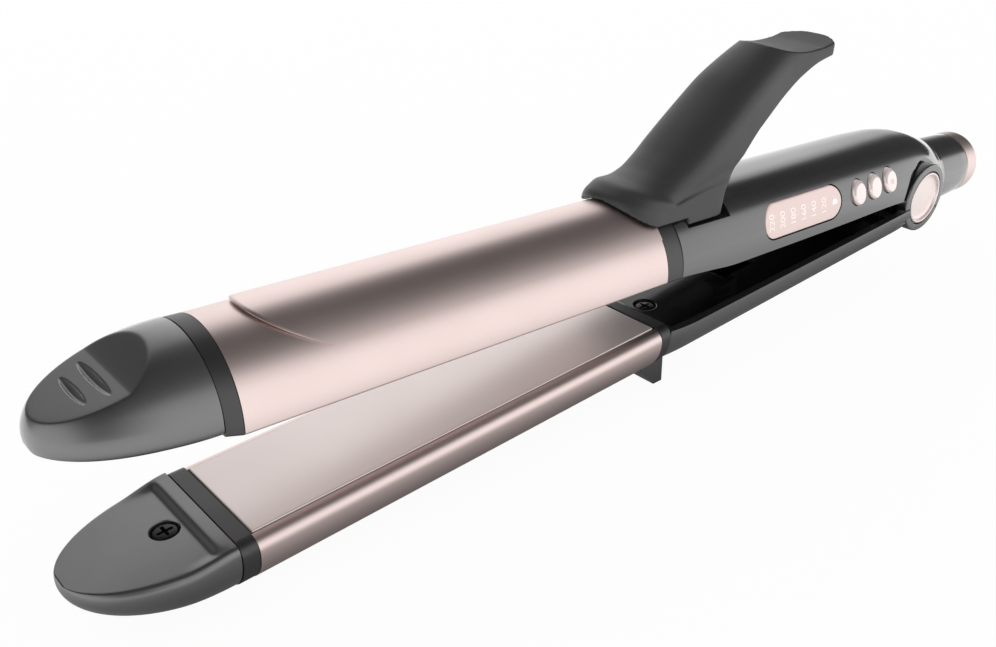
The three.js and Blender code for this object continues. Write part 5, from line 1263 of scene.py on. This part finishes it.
def floor_paint():
    """A pale matt floor. The camera sees it nearly white and still finds the iron's shadow on it. Reflections
    see a painted shadow on it, dark under the iron and lighter by its distance from the iron. From below
    it lets the view through to the underside."""
    material = bpy.data.materials.new("pale_floor")
    material.use_nodes = True
    tree = material.node_tree
    tree.nodes.clear()
    matt = add_node(tree, "ShaderNodeBsdfDiffuse", inputs={"Color": (0.78, 0.78, 0.78, 1)}).outputs["BSDF"]
    place = add_node(tree, "ShaderNodeTexCoord").outputs["Object"]
    for operation, inputs in (
        ("ABSOLUTE", {}), ("SUBTRACT", {1: (IRON_HALF, 0, 0)}), ("MAXIMUM", {1: (0, 0, 0)})
    ):
        place = add_node(
            tree, "ShaderNodeVectorMath", {"operation": operation}, {0: place, **inputs}
        ).outputs["Vector"]
    away = add_node(tree, "ShaderNodeVectorMath", {"operation": "LENGTH"}, {0: place}).outputs["Value"]
    share = add_node(
        tree, "ShaderNodeMath", {"operation": "DIVIDE", "use_clamp": True}, {0: away, 1: PAINTED_SHADOW_REACH}
    ).outputs["Value"]
    # Painted shadow: the levels that reflections see, darkest under the iron and rising with distance from it
    ramp = add_node(tree, "ShaderNodeValToRGB", inputs={"Fac": share})
    while len(ramp.color_ramp.elements) < len(PAINTED_SHADOW_STOPS):
        ramp.color_ramp.elements.new(0.5)
    for element, (distance, level) in zip(ramp.color_ramp.elements, PAINTED_SHADOW_STOPS):
        element.position, element.color = distance / PAINTED_SHADOW_REACH, (level, level, level, 1)
    white, painted_shadow = (
        add_node(tree, "ShaderNodeEmission", inputs={"Color": colour, "Strength": 1.0}).outputs["Emission"]
        for colour in ((1, 1, 1, 1), ramp.outputs["Color"])
    )
    ray = add_node(tree, "ShaderNodeLightPath").outputs
    through = add_node(
        tree, "ShaderNodeMath", {"operation": "MAXIMUM"},
        {0: ray["Is Camera Ray"], 1: ray["Is Transmission Ray"]},
    ).outputs["Value"]
    white_share = add_node(
        tree, "ShaderNodeMath", {"operation": "MULTIPLY"}, {0: through, 1: FLOOR_SEEN}
    ).outputs["Value"]
    seen = add_node(
        tree, "ShaderNodeMixShader", inputs={"Fac": white_share, 1: matt, 2: white}
    ).outputs["Shader"]
    # Reflections see the painted shadow in place of the lit floor
    above = add_node(
        tree, "ShaderNodeMixShader", inputs={"Fac": ray["Is Glossy Ray"], 1: seen, 2: painted_shadow}
    ).outputs["Shader"]
    below = add_node(tree, "ShaderNodeNewGeometry").outputs["Backfacing"]
    clear = add_node(tree, "ShaderNodeBsdfTransparent").outputs["BSDF"]
    surface = add_node(tree, "ShaderNodeMixShader", inputs={"Fac": below, 1: above, 2: clear})
    add_node(tree, "ShaderNodeOutputMaterial", inputs={"Surface": surface.outputs["Shader"]})
    return material


studio_world()
FLOOR_HALF = 3.0
floor_corners = np.array([(-1, -1, 0), (1, -1, 0), (1, 1, 0), (-1, 1, 0)]) * FLOOR_HALF
floor_mesh = as_object("floor", (floor_corners, [[0, 1, 2, 3]]))
floor_mesh.data.materials.append(floor_paint())


def soft_box(name, place, target, size, level):
    """An area lamp of a size in metres that looks at a target; power = level x pi x area gives that
    brightness. The world already holds the bright sides that the gloss sees, so the lamp isn't mirrored."""
    lamp_data = bpy.data.lights.new(name, "AREA")
    lamp_data.shape = "RECTANGLE"
    lamp_data.size, lamp_data.size_y = size
    lamp_data.energy = level * math.pi * size[0] * size[1]
    made = bpy.data.objects.new(name, lamp_data)
    made.visible_glossy = False
    bpy.context.scene.collection.objects.link(made)
    aim = (Vector(target) - Vector(place)).to_track_quat("-Z", "Y")
    made.matrix_world = Matrix.Translation(place) @ aim.to_matrix().to_4x4()


IRON_MIDDLE = (0, 0, 0.04)
soft_box("rim_box", (0.5, 1.2, 0.75), IRON_MIDDLE, (1.8, 0.8), 1.3)
soft_box("front_box", (0, -1.3, 0.6), IRON_MIDDLE, (1.6, 0.7), 1.4)

# Camera: its place in millimetres and its right, up and back directions, fitted in the lower arm's frame
CAMERA_PLACE = (-61.2655, -160.1122, 129.8224)
CAMERA_AXES = [
    (0.756664, -0.653305, -0.025543), (0.339838, 0.359626, 0.869011), (-0.558543, -0.666230, 0.494133)
]
CAMERA_LENS = 37.876
camera_data = bpy.data.cameras.new("camera")
camera_data.sensor_width = 36
camera_data.lens = CAMERA_LENS
camera_data.clip_start = 0.01
camera = bpy.data.objects.new("camera", camera_data)
bpy.context.scene.collection.objects.link(camera)
pose = Matrix.Identity(4)
for column, axis in enumerate(CAMERA_AXES):
    for row, value in enumerate(np.array(axis) @ ARMS["lower"]):
        pose[row][column] = value
for row, value in enumerate(in_world(np.array(CAMERA_PLACE), "lower")):
    pose[row][3] = value
camera.matrix_world = pose
bpy.context.scene.camera = camera
bpy.context.scene.view_settings.view_transform = "Standard"
